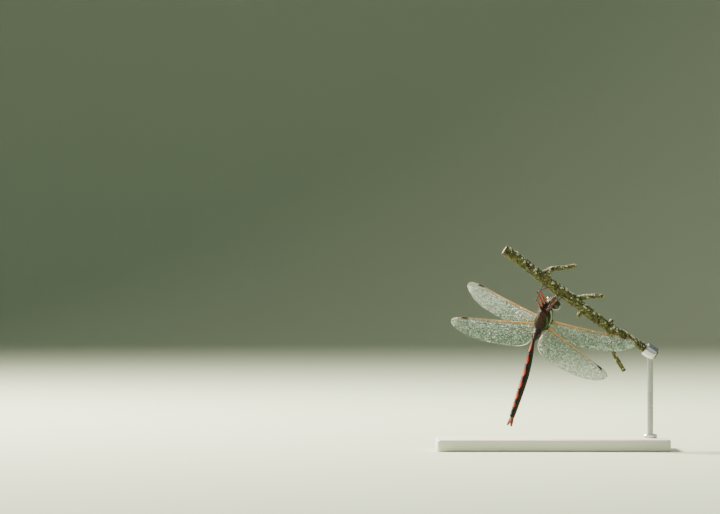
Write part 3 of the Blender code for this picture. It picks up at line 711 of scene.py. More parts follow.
def trunk_rings():
    """Rings down the neck, collar and thorax, front to back: ovals with a flatter side, in the
    body's frame, moved along their outward directions by the relief."""
    front, rear = TRUNK_SECTIONS[-1][0], TRUNK_SECTIONS[0][0]
    x = np.concatenate([np.linspace(front, 6.0, NECK_ROWS), np.linspace(5.9, rear, TRUNK_ROWS - NECK_ROWS)])
    top, bottom, half = np.moveaxis(smooth_row(TRUNK_SECTIONS, x), -1, 0)[:, :, None]
    power = np.interp(x, (5.0, 6.4), (2.4, 2.0))[:, None]
    a = circle(AROUND)[None, :]
    c, s = np.cos(a), np.sin(a)
    middle = 0.45 * top + 0.55 * bottom
    reach = np.where(s > 0, top - middle, middle - bottom)
    y = half * np.sign(c) * np.abs(c) ** (2 / power)
    z = middle + reach * np.sign(s) * np.abs(s) ** (2 / power)
    rings = np.stack([np.broadcast_to(x[:, None], y.shape), y, z], -1)
    marks = trunk_marks(rings)
    fade = np.clip((x[:, None, None] - rear) / 0.8, 0, 1)
    return rings + grid_normals(rings) * trunk_relief(rings, marks)[..., None] * fade, marks


def segment_of(lengths):
    """Segment number and the share along it, for lengths down the abdomen."""
    ends = np.cumsum(SEGMENT_LENGTHS)
    number = np.clip(np.searchsorted(ends, lengths, side="right"), 0, 9)
    starts = np.concatenate([[0], ends])[number]
    return number + 1, (lengths - starts) / np.array(SEGMENT_LENGTHS)[number]


def abdomen_marks(lengths, turn, radius):
    """Values of the abdomen's pattern. The angle from the belly's middle line is twisted along
    the abdomen; each orange plate is a lens that is widest two thirds of the way down."""
    number, share = segment_of(lengths)
    number, share = number[:, None], share[:, None]
    twist = np.interp(lengths, *np.transpose(ABDOMEN_TWIST))[:, None]
    from_belly = (np.degrees(turn)[None, :] - 270 + twist + 180) % 360 - 180
    t = np.clip((share - 0.06) / 0.86, 0, 1)
    lens = 37 * np.sin(math.pi * t ** 1.3) ** 0.75
    arc = math.pi / 180 * radius[:, None]
    plate = np.where((number >= 3) & (number <= 8), (lens - np.abs(from_belly - 4)) * arc, -1.0)
    auricle = 0.62 - np.hypot((np.abs(from_belly) - 62) * arc, lengths[:, None] - 2.8)
    plate = np.maximum(plate, auricle)
    back = 180 - np.abs(from_belly)
    rear = 0.42 - np.hypot((back - 30) * arc * 0.8, (share - 0.86) * 6.5)
    fore = 0.24 - np.hypot((back - 12) * arc * 0.9, (share - 0.4) * 5.5)
    spot = np.where((number >= 2) & (number <= 9), np.maximum(rear, fore), -1.0)
    joints = np.cumsum((0,) + SEGMENT_LENGTHS)
    nearest = np.min(np.abs(lengths[:, None] - joints[None]), axis=1)[:, None]
    return dict(plate=plate, spot=spot, glow=np.clip((share - 0.25) / 0.5, 0, 1) + 0 * from_belly,
                green_cast=np.clip(1 - np.abs(np.abs(from_belly) - 62) / 40, 0, 1),
                ring=np.clip(1.2 * ridge(nearest, 0.28), 0, 1) + 0 * from_belly), from_belly, nearest, share


def abdomen_rings():
    """Rings down the abdomen: near-round sections, swollen at each segment's end, pinched at the
    joints, with a low keel on the back and folds beside the belly plates."""
    lengths = np.linspace(0.1, sum(SEGMENT_LENGTHS) - 0.05, ABDOMEN_ROWS)
    radius = smooth_row(ABDOMEN_RADIUS, np.minimum(lengths, ABDOMEN_TAPER_END))[:, 0]
    turn = circle(AROUND)
    marks, from_belly, nearest, share = abdomen_marks(lengths, turn, radius)
    inset = (-0.06 - 0.13 * ridge(nearest, 0.22) + 0.08 * ridge(share - 0.93, 0.07)
             + 0.03 * ridge(share - 0.3, 0.03))
    inset = inset * np.clip(lengths[:, None] / 1.2, 0, 1)
    keel = 0.06 * ridge(180 - np.abs(from_belly), 7) + 0.05 * ridge(np.abs(from_belly) - 118, 5)
    folds = -0.12 * ridge(np.abs(from_belly) - 36, 6) * np.clip((lengths[:, None] - 6) / 4, 0, 1)
    place, _, side, up = abdomen_frames(lengths)
    out = -side[:, None] * np.cos(turn)[None, :, None] + up[:, None] * (0.95 * np.sin(turn))[None, :, None]
    rings = place[:, None] + out * (radius[:, None] + inset + keel + folds)[..., None]
    grain = 0.02 * lattice_noise(rings, 0.5, 6)
    return rings + out * grain[..., None], marks


def build_skin(thorax, abdomen, hair):
    """The body's one skin, from the neck to the last segment, and its coat of fine hair."""
    trunk, trunk_values = trunk_rings()
    tail, tail_values = abdomen_rings()
    rings = np.concatenate([placed(BODY, trunk), tail])
    values = {}
    for key in (*trunk_values, *tail_values):
        blank = -1.0 if key in ("stripe", "plate", "spot") else 0.0
        front = trunk_values.get(key, np.full(trunk.shape[:2], blank))
        values[key] = np.concatenate([front, tail_values.get(key, np.full(tail.shape[:2], blank))])
    index = np.repeat((np.arange(len(rings) - 1) >= len(trunk)).astype(int), AROUND)
    solid("body_skin", Shell().tubes(rings, **values), (thorax, abdomen),
          ("thorax", "prothorax", *(f"abdomen_{n:02d}" for n in range(1, 11))), index)
    build_coat(rings, len(trunk), values, hair)


TUFTS = 2800
TUFT_SIZE = 4
COAT_ROWS = (34, 38)              # where it starts on the neck, and ends past the thorax
HAIR_PATCH = 0.003                # each bristle's patch on the bake sheet, as a share of it


def hair_values(bristles, place, each):
    """For tufts of so many bristles: how far out each point lies, from root to tip, and a small
    patch of the bake sheet for each bristle at its tuft's place there."""
    n, m = bristles.shape[1:3]
    steps = (np.linspace(0, HAIR_PATCH, n), np.linspace(0, HAIR_PATCH, m))
    corner = np.stack(np.meshgrid(*steps, indexing="ij"), -1)
    unwrap = np.repeat(place, each, 0)[:, None, None] + corner[None]
    out = np.broadcast_to(np.linspace(0, 1, n)[None, :, None], bristles.shape[:3])
    return dict(out=out, OFBake=unwrap)


def build_coat(rings, trunk_rows, values, hair):
    """Tufts of fine bristles over the thorax and the first segments, thickest below and behind
    the neck. Each tuft is four bristles that lean back from one root."""
    random = np.random.default_rng(11)
    rows = random.integers(COAT_ROWS[0], trunk_rows + COAT_ROWS[1], TUFTS)
    columns = random.integers(0, AROUND, TUFTS)
    normals = grid_normals(rings)
    local = (rings - np.array(BODY.translation)) @ np.array(BODY.to_3x3())
    root_local = local[rows, columns]
    clear = ~((root_local[:, 2] > 2.6) & (root_local[:, 0] < 3.0) & (np.abs(root_local[:, 1]) > 1.9))
    rows, columns = rows[clear], columns[clear]
    below = np.clip((1.5 - local[rows, columns, 2]) / 4, 0, 1)
    count = len(rows)
    root, out = rings[rows, columns], normals[rows, columns]
    back = -np.array(BODY.to_3x3() @ Vector((1, 0, 0)))
    lean = unit(out * 0.75 + back * 0.75 + random.normal(0, 0.16, (count, 3)))
    long = (0.34 + 0.34 * below) * random.uniform(0.7, 1.25, count) * np.where(rows > trunk_rows, 0.6, 1.0)
    spread = random.normal(0, 0.22, (count, TUFT_SIZE, 3))
    heading = unit(lean[:, None] + spread).reshape(-1, 3)
    start = root[:, None] - out[:, None] * 0.05 + random.normal(0, 0.05, (count, TUFT_SIZE, 3))
    lengths = (long[:, None] * random.uniform(0.7, 1.1, (count, TUFT_SIZE))).ravel()
    bend = np.repeat(back[None], count * TUFT_SIZE, 0) * 0.25
    bristles = spikes(start.reshape(-1, 3), heading, lengths, 0.015, sides=3, bend=bend)
    place = np.stack([0.002 + 0.99 * columns / AROUND, 0.002 + 0.99 * rows / len(rings)], -1)
    at = {key: np.repeat(values[key][rows, columns], TUFT_SIZE)[:, None, None] * np.ones(bristles.shape[:3])
          for key in ("stripe", "pale")}
    coat = Shell().tubes(bristles, **hair_values(bristles, place, TUFT_SIZE), **at)
    solid("body_hair", coat, (hair,))


HINGE_LUMPS = (                   # place from the hinge, and half sizes
    ((0.0, -0.25, -0.1), (1.5, 0.55, 0.5)), ((0.75, 0.2, -0.15), (0.7, 0.55, 0.42)),
    ((-0.75, 0.15, -0.25), (0.8, 0.6, 0.4)), ((0.1, 0.5, -0.1), (0.5, 0.5, 0.3)),
    ((-0.2, -0.1, -0.85), (1.2, 0.5, 0.45)), ((0.9, -0.2, -0.9), (0.6, 0.45, 0.5)))


def build_wing_roots(finish):
    """Hinge plates at the wing roots: a few small hard lumps round each hinge, with the ridge that
    carries them along each side of the back."""
    shell = Shell()
    for wing in (FOREWING, HINDWING):
        for side in (1, -1):
            x, y, z = wing["hinge"]
            for (dx, dy, dz), halves in HINGE_LUMPS:
                flat = np.array(halves) * (1, 1, 0.75)
                lump = lobe((x + dx, side * (y + dy), z + dz - 0.05), flat, 14, 18, 2.6, blunt=0.65)
                lump = lump + 0.05 * lattice_noise(lump, 0.5, 8)[..., None]
                shell.tubes(placed(BODY, lump), reach=np.full(lump.shape[:2], 0.2))
    solid("wing_hinge_plates", shell, (finish,))


SIDE_FLAPS = (208, 332)
SECOND_PLATES = (                 # length down the abdomen, degrees round it, and half sizes
    (2.4, 262, (0.75, 0.42, 0.32)), (2.4, 278, (0.75, 0.42, 0.32)), (3.9, 270, (0.9, 0.5, 0.36)),
    (2.8, 208, (0.62, 0.5, 0.34)), (2.8, 332, (0.62, 0.5, 0.34)), (5.0, 270, (0.7, 0.3, 0.25)))


def build_second_segment(finish):
    """The male's small plates under the second segment, and the flap on each side of it."""
    shell = Shell()
    for length, turn, halves in SECOND_PLATES:
        place, along, side, up = abdomen_frames([length])
        a = math.radians(turn)
        out = -side[0] * math.cos(a) + up[0] * math.sin(a)
        radius = smooth_row(ABDOMEN_RADIUS, [length])[0, 0]
        axes = np.stack([along[0], np.cross(out, along[0]), out])
        lump = lobe(place[0] + out * (radius - 0.08), halves, 10, 16, sides=axes)
        dark = 0.3 if turn in SIDE_FLAPS else 0.85
        shell.tubes(lump, thin=np.zeros((10, 16)), dark=np.full((10, 16), dark))
    solid("second_segment_plates", shell, (finish,))


def build_tail(finish):
    """Claspers: leaf shapes on a narrow stem, hollowed along the middle, with a raised rib."""
    place, along, side, up = (row[0] for row in abdomen_frames([sum(SEGMENT_LENGTHS) + 0.1]))
    for name, turn, length, offset, rise in (("cercus_left", -1, CERCUS_LENGTH, 0.68, 0.35),
                                             ("cercus_right", 1, CERCUS_LENGTH, 0.68, 0.35),
                                             ("epiproct", 0, 2.8, 0.0, -0.45)):
        splay = CERCUS_SPLAY * abs(turn)
        heading = along * math.cos(splay) + side * (turn * math.sin(splay))
        across = np.cross(up, heading)
        t = np.linspace(0, 1, 40)[:, None]
        a = circle(24)[None, :]
        widen = np.clip((t - 0.05) / 0.35, 0, 1) ** 1.2
        narrow = 1 - np.clip((t - 0.5) / 0.5, 0, 1) ** 2.2
        leaf = 0.42 + 0.36 * widen * narrow
        half = leaf if turn else 0.5 - 0.25 * t
        thick = 0.2 - 0.1 * t + 0.05 * ridge(np.cos(a), 0.25)
        bow = 0.35 * np.sin(math.pi * t) * (1 if turn else -0.6)
        wide, high = half * np.cos(a), thick * np.sin(a) + 0.1 * np.cos(a) ** 2
        reach = length * t - 0.5 * (1 - t)
        centre = place + side * (turn * offset) + up * rise + heading * reach[..., None]
        centre = centre + across * (turn * -bow * 0.6)[..., None]
        rings = centre + across * wide[..., None] + up * (high + (bow * 0.2))[..., None]
        # where the pale painted highlight lies: the leaf's thin edges, midway along
        thin = np.clip(1 - np.abs(t - 0.6) / 0.4, 0, 1) * np.abs(np.cos(a)) ** 3 * 0.8
        solid(f"{name}_plate", Shell().tubes(rings, thin=thin, dark=0 * thin), (finish,), (name,))


# ---------------------------------------------------------------- head

def build_eyes(finish):
    """Eyes: large ovals, blunter on their inner sides, that meet along the crown, where a soft
    limit flattens them onto the middle plane and leaves a fine seam."""
    for name, sign in (("left", 1), ("right", -1)):
        t = np.linspace(0.03, math.pi - 0.03, 90)[:, None]
        a = circle(120)[None, :]
        halves = np.array(EYE_HALF) - 0.04
        outward = -np.cos(t) * np.ones_like(a)
        wide = np.sqrt(1 - np.abs(outward) ** np.where(outward < 0, 3.0, 2.0))
        y = EYE_AT[1] + halves[1] * outward
        limit, soft = 0.05, 0.2
        eased = soft * np.exp(np.minimum((y - limit) / soft - 1, 0))
        y = limit + np.where(y > limit + soft, y - limit, eased)
        x = EYE_AT[0] + halves[0] * wide * np.cos(a)
        z = EYE_AT[2] + halves[2] * wide * np.sin(a)
        local = np.stack([x, y * sign, z], -1)
        shell = Shell().tubes(placed(HEAD, local), height=z)
        solid(f"compound_eye_{name}", shell, (finish,), (f"eye_{name}",))


FACE_PROFILE = (                  # height, front reach and half width
    (-3.0, 4.2, 0.6), (-2.85, 4.75, 1.15), (-2.5, 5.15, 1.48), (-2.1, 5.2, 1.5), (-1.8, 5.05, 1.38),
    (-1.5, 5.2, 1.38), (-1.25, 5.3, 1.5), (-0.9, 5.5, 1.72), (-0.5, 5.52, 1.8), (-0.25, 5.42, 1.8),
    (0.05, 5.6, 1.84), (0.45, 5.62, 1.84), (0.8, 5.4, 1.72), (1.05, 5.0, 1.4), (1.2, 4.4, 0.8))
FACE_GROOVES = (-0.28, -1.24, -1.78)


def face_rings():
    """The face as one plated surface, ring by ring upwards: a blunt oval whose front follows the
    profile, cut by the grooves between forehead, the two face plates and the upper lip."""
    z = np.linspace(-3.0, 1.2, 130)
    front, half = np.moveaxis(smooth_row(FACE_PROFILE, z), -1, 0)[:, :, None]
    a = circle(96)[None, :]
    c, s = np.cos(a), np.sin(a)
    back = 1.6
    x = (front + back) / 2 + (front - back) / 2 * np.sign(c) * np.abs(c) ** (2 / 2.9)
    y = half * np.sign(s) * np.abs(s) ** (2 / 2.5)
    groove = np.max([ridge(z - line, 0.07) for line in FACE_GROOVES], axis=0)[:, None]
    pit = ridge(np.abs(y) - 0.62, 0.16) * ridge(z[:, None] + 0.62, 0.2)
    dimple = ridge(y, 0.12) * np.clip((z[:, None] + 0.1) / 0.3, 0, 1)
    rings = np.stack([x, y, np.broadcast_to(z[:, None], x.shape)], -1)
    depth = 0.11 * groove + 0.07 * pit + 0.07 * dimple - 0.03 * lattice_noise(rings, 0.5, 21)
    ahead = np.clip((x - 3.0) / 2.4, 0, 1)
    rings = rings - grid_normals(rings) * (depth * ahead)[..., None]
    crown = np.clip((z[:, None] - 0.55) / 0.3, 0, 1) * np.clip((1.1 - np.abs(y)) / 0.3, 0, 1)
    lip = np.clip((-z[:, None] - 2.65) / 0.2, 0, 1)
    # Tones of the bands up the face: partly the plates' own pale and dark colours, partly painted light and
    # shade, as narrow sunlit pale lines and shaded dark bands between them.
    tone = np.interp(z, (-2.75, -2.55, -2.0, -1.8, -1.35, -1.2, -0.75, -0.6, -0.25, -0.1, 0.45, 0.65, 1.2),
                     (1.0, 0.35, 0.25, 0.05, 0.05, 1.0, 0.9, 0.1, 0.1, 0.9, 0.8, 0.25, 0.1))
    tone = tone[:, None] * ahead * (1 - 0.85 * crown)
    return rings, tone, np.clip(0.8 * groove + 0.7 * lip, 0, 1) * np.ones_like(x)


HEAD_LUMPS = (                    # centre, half sizes, squareness, paleness and bluntness
    ((1.75, 0, -1.25), (1.95, 2.35, 1.95), 2.2, 0.0, 1.0),           # head case
    ((0.9, 0, 0.6), (0.9, 2.2, 2.0), 2.2, 0.0, 1.0),                 # its upper back
    ((0.75, 0, 2.15), (0.45, 0.42, 0.5), 2.2, 0.35, 0.8),            # triangle behind the eyes
    ((4.5, 0, 1.2), (0.85, 0.8, 0.6), 2.4, 0.35, 1.0),               # bump of the simple eyes
    ((2.85, 0, -2.98), (1.5, 0.66, 0.44), 3.2, 0.22, 0.5),           # lower lip, middle
    ((3.0, 0.92, -2.76), (1.45, 0.62, 0.46), 3.2, 0.3, 0.5),         # and its two side lobes
    ((3.0, -0.92, -2.76), (1.45, 0.62, 0.46), 3.2, 0.3, 0.5),
    ((3.4, 1.28, -1.95), (1.25, 0.38, 0.8), 3.0, 0.75, 0.6),         # jaws
    ((3.4, -1.28, -1.95), (1.25, 0.38, 0.8), 3.0, 0.75, 0.6),
    ((1.5, 0, -2.75), (1.2, 1.1, 0.5), 3.0, 0.05, 0.6))              # throat
SIMPLE_EYES = ((5.32, 0.0, 1.35), (4.75, 0.42, 1.72), (4.75, -0.42, 1.72))
FEELER_RISE = (0.78, 0.42, 0.46)  # the way the left feeler points


def build_head(face, lens, horn, hair):
    """The head: a rounded case behind the eyes, the plated face before it, the bump that bears
    the small eyes, and the jaws and three-part lower lip underneath."""
    shell = Shell()
    for number, (centre, halves, power, tone, blunt) in enumerate(HEAD_LUMPS):
        count = 60 if number == 0 else 34
        lump = lobe(centre, halves, count, 64, power, blunt=blunt)
        lump = lump + 0.03 * lattice_noise(lump, 0.6, 30 + number)[..., None] * unit(lump - np.array(centre))
        shell.tubes(placed(HEAD, lump), face=np.full((count, 64), tone), edge=np.zeros((count, 64)))
    rings, tone, edge = face_rings()
    shell.tubes(placed(HEAD, rings), face=tone, edge=edge)
    solid("head_capsule", shell, (face,), ("head", "face", "mouthparts"))

    lenses = Shell()
    for place in SIMPLE_EYES:
        dome = lobe(place, (0.17, 0.17, 0.15), 12, 16)
        lenses.tubes(placed(HEAD, dome), height=np.full((12, 16), -2.0))
    solid("three_simple_eyes", lenses, (lens,))

    for name, side in (("left", 1), ("right", -1)):
        build_feeler(name, side, horn)
    build_face_hair(hair)


def build_feeler(name, side, horn):
    """One feeler: two stout joints at its root, then a fine bristle that droops and tapers, with
    five faint swellings."""
    feeler = Shell()
    heading = unit(np.array(FEELER_RISE) * (1, side, 1))
    root = np.array([4.85, side * 0.62, 1.15])
    for start, end, r0, r1 in ((0.0, 0.42, 0.3, 0.24), (0.38, 0.85, 0.19, 0.17)):
        path = root + heading * np.linspace(start, end, 8)[:, None]
        swell = np.interp(np.linspace(0, 1, 8), (0, 0.15, 0.8, 1), (0.7, 1, 1, 0.75))
        feeler.tubes(placed(HEAD, tube_rings(path, np.linspace(r0, r1, 8) * swell, 12)))
    t = np.linspace(0, 1, 46)[:, None]
    path = root + heading * (0.8 + 3.7 * t) + np.array([0, 0, -0.25]) * t ** 2
    jointed = 0.11 * (1 - 0.72 * t[:, 0]) * (1 + 0.08 * np.cos(t[:, 0] * WHOLE * 5))
    feeler.tubes(placed(HEAD, tube_rings(path, jointed, 8)))
    solid(f"feeler_{name}", feeler, (horn,), (f"antenna_{name}",))


FACE_TUFT_SIZE = 3
HEAD_TUFTS = (                    # centre and half sizes of the oval, tufts, tilt, on the face or not
    ((4.1, 0, -0.2), (1.7, 1.75, 1.4), 170, (0.3, 0, -0.4), True),
    ((1.2, 0, -0.2), (1.6, 2.6, 2.6), 260, (-0.7, 0, -0.2), False))


def build_face_hair(hair):
    """Short bristles on the face and a fringe behind the eyes, in tufts of three whose roots are
    spread over two ovals."""
    random = np.random.default_rng(5)
    shell = Shell()
    for centre, halves, count, tilt, front in HEAD_TUFTS:
        way = unit(random.normal(0, 1, (count * 3, 3)))
        way = way[way[:, 0] > 0.25] if front else way[(way[:, 0] < 0.1) & (way[:, 2] < 0.45)]
        way = way[:count]
        each = FACE_TUFT_SIZE
        root = np.array(centre) + way * np.array(halves) * 0.98
        heading = unit(unit(way + np.array(tilt))[:, None] + random.normal(0, 0.25, (len(way), each, 3)))
        start = root[:, None] + random.normal(0, 0.06, (len(way), each, 3))
        lengths = random.uniform(0.25, 0.5, len(way) * each)
        bristles = spikes(start.reshape(-1, 3), heading.reshape(-1, 3), lengths, 0.02, sides=3)
        round_head = np.arctan2(way[:, 1], way[:, 2]) / WHOLE + 0.5
        across = 0.1 + 0.35 * round_head + (0.0 if front else 0.45)
        place = np.stack([across, 0.1 + 0.4 * (way[:, 0] + 1)], -1)
        shell.tubes(placed(HEAD, bristles), **hair_values(bristles, place, each),
                    stripe=np.full(bristles.shape[:3], -1.0), pale=np.zeros(bristles.shape[:3]))
    solid("head_hair", shell, (hair,))


# ---------------------------------------------------------------- legs

def twig_point(x):
    """The twig's middle, heading and radius at a given x."""
    here = np.array([x, *smooth_row(TWIG_PATH, [x])[0]])
    ahead = np.array([x + 0.5, *smooth_row(TWIG_PATH, [x + 0.5])[0]])
    return here, unit(ahead - here), np.interp(x, np.array(TWIG_PATH)[:, 0], TWIG_RADII)


def foot_path(x, angle, away, count=17):
    """Points of a foot that lies round the twig, from an angle through the wrap, off its bark."""
    middle, heading, radius = twig_point(x)
    front = np.array([0.0, -1.0, 0.0])
    front = unit(front - heading * (front @ heading))
    below = np.cross(front, heading)
    below = below * (1 if below[2] < 0 else -1)
    turn = math.radians(angle) + TARSUS_WRAP * np.linspace(0, 1, count)[:, None]
    return middle + (front * -np.cos(turn) + below * np.sin(turn)) * (radius + away), front, below


def build_legs(finish, horn):
    """Each leg: a short base, a stout thigh, a thin shin, three foot joints, two rows of spines
    and a pair of hooked claws. Joints are separate tubes that overlap, as real ones do."""
    for pair in ("fore", "mid", "hind"):
        for side_name, side in (("left", 1), ("right", -1)):
            build_leg(f"{pair}_{side_name}", COXAE[pair], side, finish, horn)


def build_leg(key, coxa, side, finish, horn):
    """One leg, from its root in the thorax to the claws. The value "reach" runs from near 0 at the
    root to 3 at the claws, and "outer" is 1 on the side of the leg that gets painted shade: the
    belly side of a left leg and the outer side of a right one."""
    hip = placed(BODY, np.array(coxa) * (1, side, 1))
    root = placed(BODY, np.array(coxa) * (0.93, 0.75 * side, 0.72))
    knee = np.array(KNEES[key], float)
    foot, _, _ = foot_path(*FEET[key], 0.24)
    thigh, shin = unit(knee - hip), unit(foot[0] - knee)
    # The side of each leg that gets painted shade: the belly side of a left leg, the outer side of a right
    # one
    painted_shade_side = (0, 0.25, -1) if side > 0 else (0, -1, 0)
    outward = unit(np.array(BODY.to_3x3() @ Vector(painted_shade_side)))
    shell = Shell()

    def tube(start, end, radii, reach, sides=16, stations=24, bow=0.0):
        """One joint: a straight or bowed tube whose radius runs through the given ones."""
        t = np.linspace(0, 1, stations)
        path = np.asarray(start) + (np.asarray(end) - start) * t[:, None]
        path = path + np.cross(thigh, shin) * (bow * np.sin(math.pi * t))[:, None]
        radius = np.interp(t, np.linspace(0, 1, len(radii)), radii)
        rings = tube_rings(path, radius, sides)
        reaches = np.broadcast_to(np.interp(t, (0, 1), reach)[:, None], (stations, sides))
        shell.tubes(rings, reach=reaches, outer=unit(rings - path[:, None]) @ outward)

    tube(root, hip + thigh * 0.25, (0.85, 0.9, 0.8, 0.6), (0.1, 0.2))
    tube(hip, hip + thigh * 1.15, (0.42, 0.55, 0.52, 0.4), (0.2, 0.25))
    tube(hip + thigh * 0.95, knee, (0.38, 0.47, 0.5, 0.46, 0.4, 0.36, 0.34, 0.36), (0.25, 1.0), bow=0.12)
    tube(knee - shin * 0.15 - thigh * 0.1, knee + shin * 0.5, (0.2, 0.36, 0.3, 0.2), (1.0, 1.05))
    tube(knee + shin * 0.2, foot[0] + shin * 0.1, (0.24, 0.27, 0.22, 0.19, 0.2, 0.24), (1.05, 1.9), 14)
    for first, last, near, far in ((0, 4, 0.13, 0.17), (4, 9, 0.12, 0.17), (9, 16, 0.11, 0.18)):
        path = foot[first:last + 1]
        t = np.linspace(0, 1, len(path))
        radius = np.interp(t, (0, 0.2, 0.85, 1), (near * 0.8, near, far, far * 0.7))
        shell.tubes(tube_rings(path, radius, 12), reach=np.full((len(path), 12), 2.0 + last / 16))
    nodes = [f"{part}_{key}" for part in ("femur", "tibia", "tarsus")]
    solid(f"leg_{key}", shell, (finish,), nodes)

    spines = Shell()
    inward = unit(np.cross(np.cross(thigh, shin), shin))
    thigh_row = (hip + thigh * 1.4, thigh, np.linalg.norm(knee - hip) - 1.8, 12, 0.42)
    shin_row = (knee + shin * 0.5, shin, np.linalg.norm(foot[0] - knee) - 0.7, 13, 0.85)
    for start, heading, length, count, long in (thigh_row, shin_row):
        for lean in (0.55, -0.55):
            t = np.linspace(0, 1, count)[:, None]
            out = unit(inward + np.cross(heading, inward) * lean)
            roots = start + heading * (length * t) + out * 0.15
            spines.tubes(spikes(roots, np.repeat((out + heading * 0.7)[None], count, 0),
                                np.linspace(long, long * 0.7, count), 0.055))
    end, before = foot[-1], foot[-3]
    ahead = unit(end - before)
    middle, heading, _ = twig_point(FEET[key][0])
    inner = unit(middle - end)
    for lean in (0.45, -0.45):
        t = np.linspace(0, 1, 12)[:, None]
        way = unit(ahead + heading * lean)
        hook = end + way * (0.55 * np.sin(t * 1.9)) + inner * (0.42 * (1 - np.cos(t * 1.9)))
        spines.tubes(tube_rings(hook, 0.09 * (1 - 0.85 * t[:, 0]), 8))
    solid(f"claws_and_spines_{key}", spines, (horn,))


# ---------------------------------------------------------------- wings

# Main veins: places as (share of the span, share of the chord), with root and tip radii
FORE_VEINS = dict(
    subcosta=(((0.02, 0.12), (0.1, 0.085), (0.25, 0.05), (0.42, 0.035), (0.487, 0.0)), 0.13, 0.08),
    radius=(((0.02, 0.2), (0.1, 0.16), (0.25, 0.105), (0.487, 0.085), (0.7, 0.085), (0.88, 0.12),
             (0.985, 0.32)), 0.17, 0.08),
    radius_1=(((0.12, 0.26), (0.25, 0.19), (0.48, 0.16), (0.7, 0.155), (0.86, 0.21), (0.975, 0.5)),
              0.11, 0.07),
    between_1=(((0.6, 0.17), (0.75, 0.25), (0.88, 0.37), (0.955, 0.62)), 0.07, 0.05),
    radius_2=(((0.44, 0.165), (0.6, 0.27), (0.75, 0.38), (0.87, 0.56), (0.935, 0.8)), 0.09, 0.06),
    between_2=(((0.3, 0.2), (0.45, 0.34), (0.6, 0.45), (0.75, 0.6), (0.85, 0.8), (0.895, 0.97)),
               0.09, 0.06),
    radius_3=(((0.17, 0.25), (0.35, 0.42), (0.5, 0.56), (0.62, 0.73), (0.7, 0.9), (0.73, 1.0)), 0.1, 0.06),
    media=(((0.12, 0.26), (0.3, 0.5), (0.45, 0.66), (0.57, 0.83), (0.65, 1.0)), 0.1, 0.06),
    media_hind=(((0.02, 0.42), (0.12, 0.44), (0.2, 0.6), (0.32, 0.76), (0.43, 0.9), (0.49, 1.0)), 0.13, 0.07),
    cubitus=(((0.1, 0.44), (0.17, 0.6), (0.25, 0.78), (0.34, 0.92), (0.39, 1.0)), 0.1, 0.06),
    anal=(((0.02, 0.6), (0.1, 0.72), (0.18, 0.86), (0.24, 1.0)), 0.11, 0.06))
HIND_VEINS = dict(
    subcosta=(((0.02, 0.1), (0.1, 0.06), (0.2, 0.04), (0.36, 0.03), (0.425, 0.0)), 0.13, 0.08),
    radius=(((0.02, 0.17), (0.1, 0.11), (0.25, 0.075), (0.425, 0.07), (0.7, 0.08), (0.88, 0.13),
             (0.985, 0.36)), 0.17, 0.08),
    radius_1=(((0.1, 0.17), (0.25, 0.135), (0.42, 0.125), (0.7, 0.145), (0.86, 0.22), (0.975, 0.54)),
              0.11, 0.07),
    between_1=(((0.55, 0.15), (0.7, 0.23), (0.86, 0.38), (0.95, 0.66)), 0.07, 0.05),
    radius_2=(((0.38, 0.13), (0.55, 0.23), (0.7, 0.34), (0.84, 0.54), (0.92, 0.8)), 0.09, 0.06),
    between_2=(((0.26, 0.15), (0.42, 0.28), (0.58, 0.39), (0.72, 0.54), (0.83, 0.77), (0.88, 0.97)),
               0.09, 0.06),
    radius_3=(((0.14, 0.16), (0.3, 0.30), (0.45, 0.43), (0.6, 0.62), (0.69, 0.84), (0.725, 1.0)), 0.1, 0.06),
    media=(((0.1, 0.17), (0.25, 0.35), (0.4, 0.51), (0.53, 0.72), (0.62, 1.0)), 0.1, 0.06),
    media_hind=(((0.02, 0.32), (0.1, 0.28), (0.18, 0.40), (0.3, 0.56), (0.42, 0.78), (0.5, 1.0)), 0.13, 0.07),
    cubitus=(((0.1, 0.28), (0.16, 0.44), (0.24, 0.62), (0.31, 0.82), (0.36, 1.0)), 0.1, 0.06),
    loop=(((0.06, 0.36), (0.1, 0.56), (0.145, 0.76), (0.19, 0.9), (0.225, 1.0)), 0.09, 0.06),
    anal=(((0.02, 0.45), (0.05, 0.6), (0.08, 0.8), (0.1, 1.0)), 0.1, 0.06))
STIGMA_SPAN = (0.808, 0.882)
# The notch, the short stout vein near the root, and the small triangle of veins past it
FORE_CROSSES = dict(notch=0.487, arch=0.115, arch_ends=(0.16, 0.44),
                    triangle=((0.15, 0.3), (0.155, 0.47), (0.235, 0.44)))
HIND_CROSSES = dict(notch=0.425, arch=0.1, arch_ends=(0.11, 0.29),
                    triangle=((0.125, 0.2), (0.13, 0.34), (0.225, 0.33)))


def vein_table(wing, veins):
    """For a fine row of stations along the span, the share of the chord where each vein lies;
    a vein is missing (nan) outside its own stretch. Both edges of the wing count as veins."""
    first = WING_START / wing["length"]
    u = np.linspace(first, 0.996, 500)
    rows = [np.zeros_like(u)]
    for knots, _, _ in veins.values():
        v = smooth_row(knots, u)[:, 0]
        rows.append(np.where((u >= knots[0][0]) & (u <= knots[-1][0]), np.clip(v, 0, 1), np.nan))
    rows.append(np.ones_like(u))
    return u, np.array(rows)


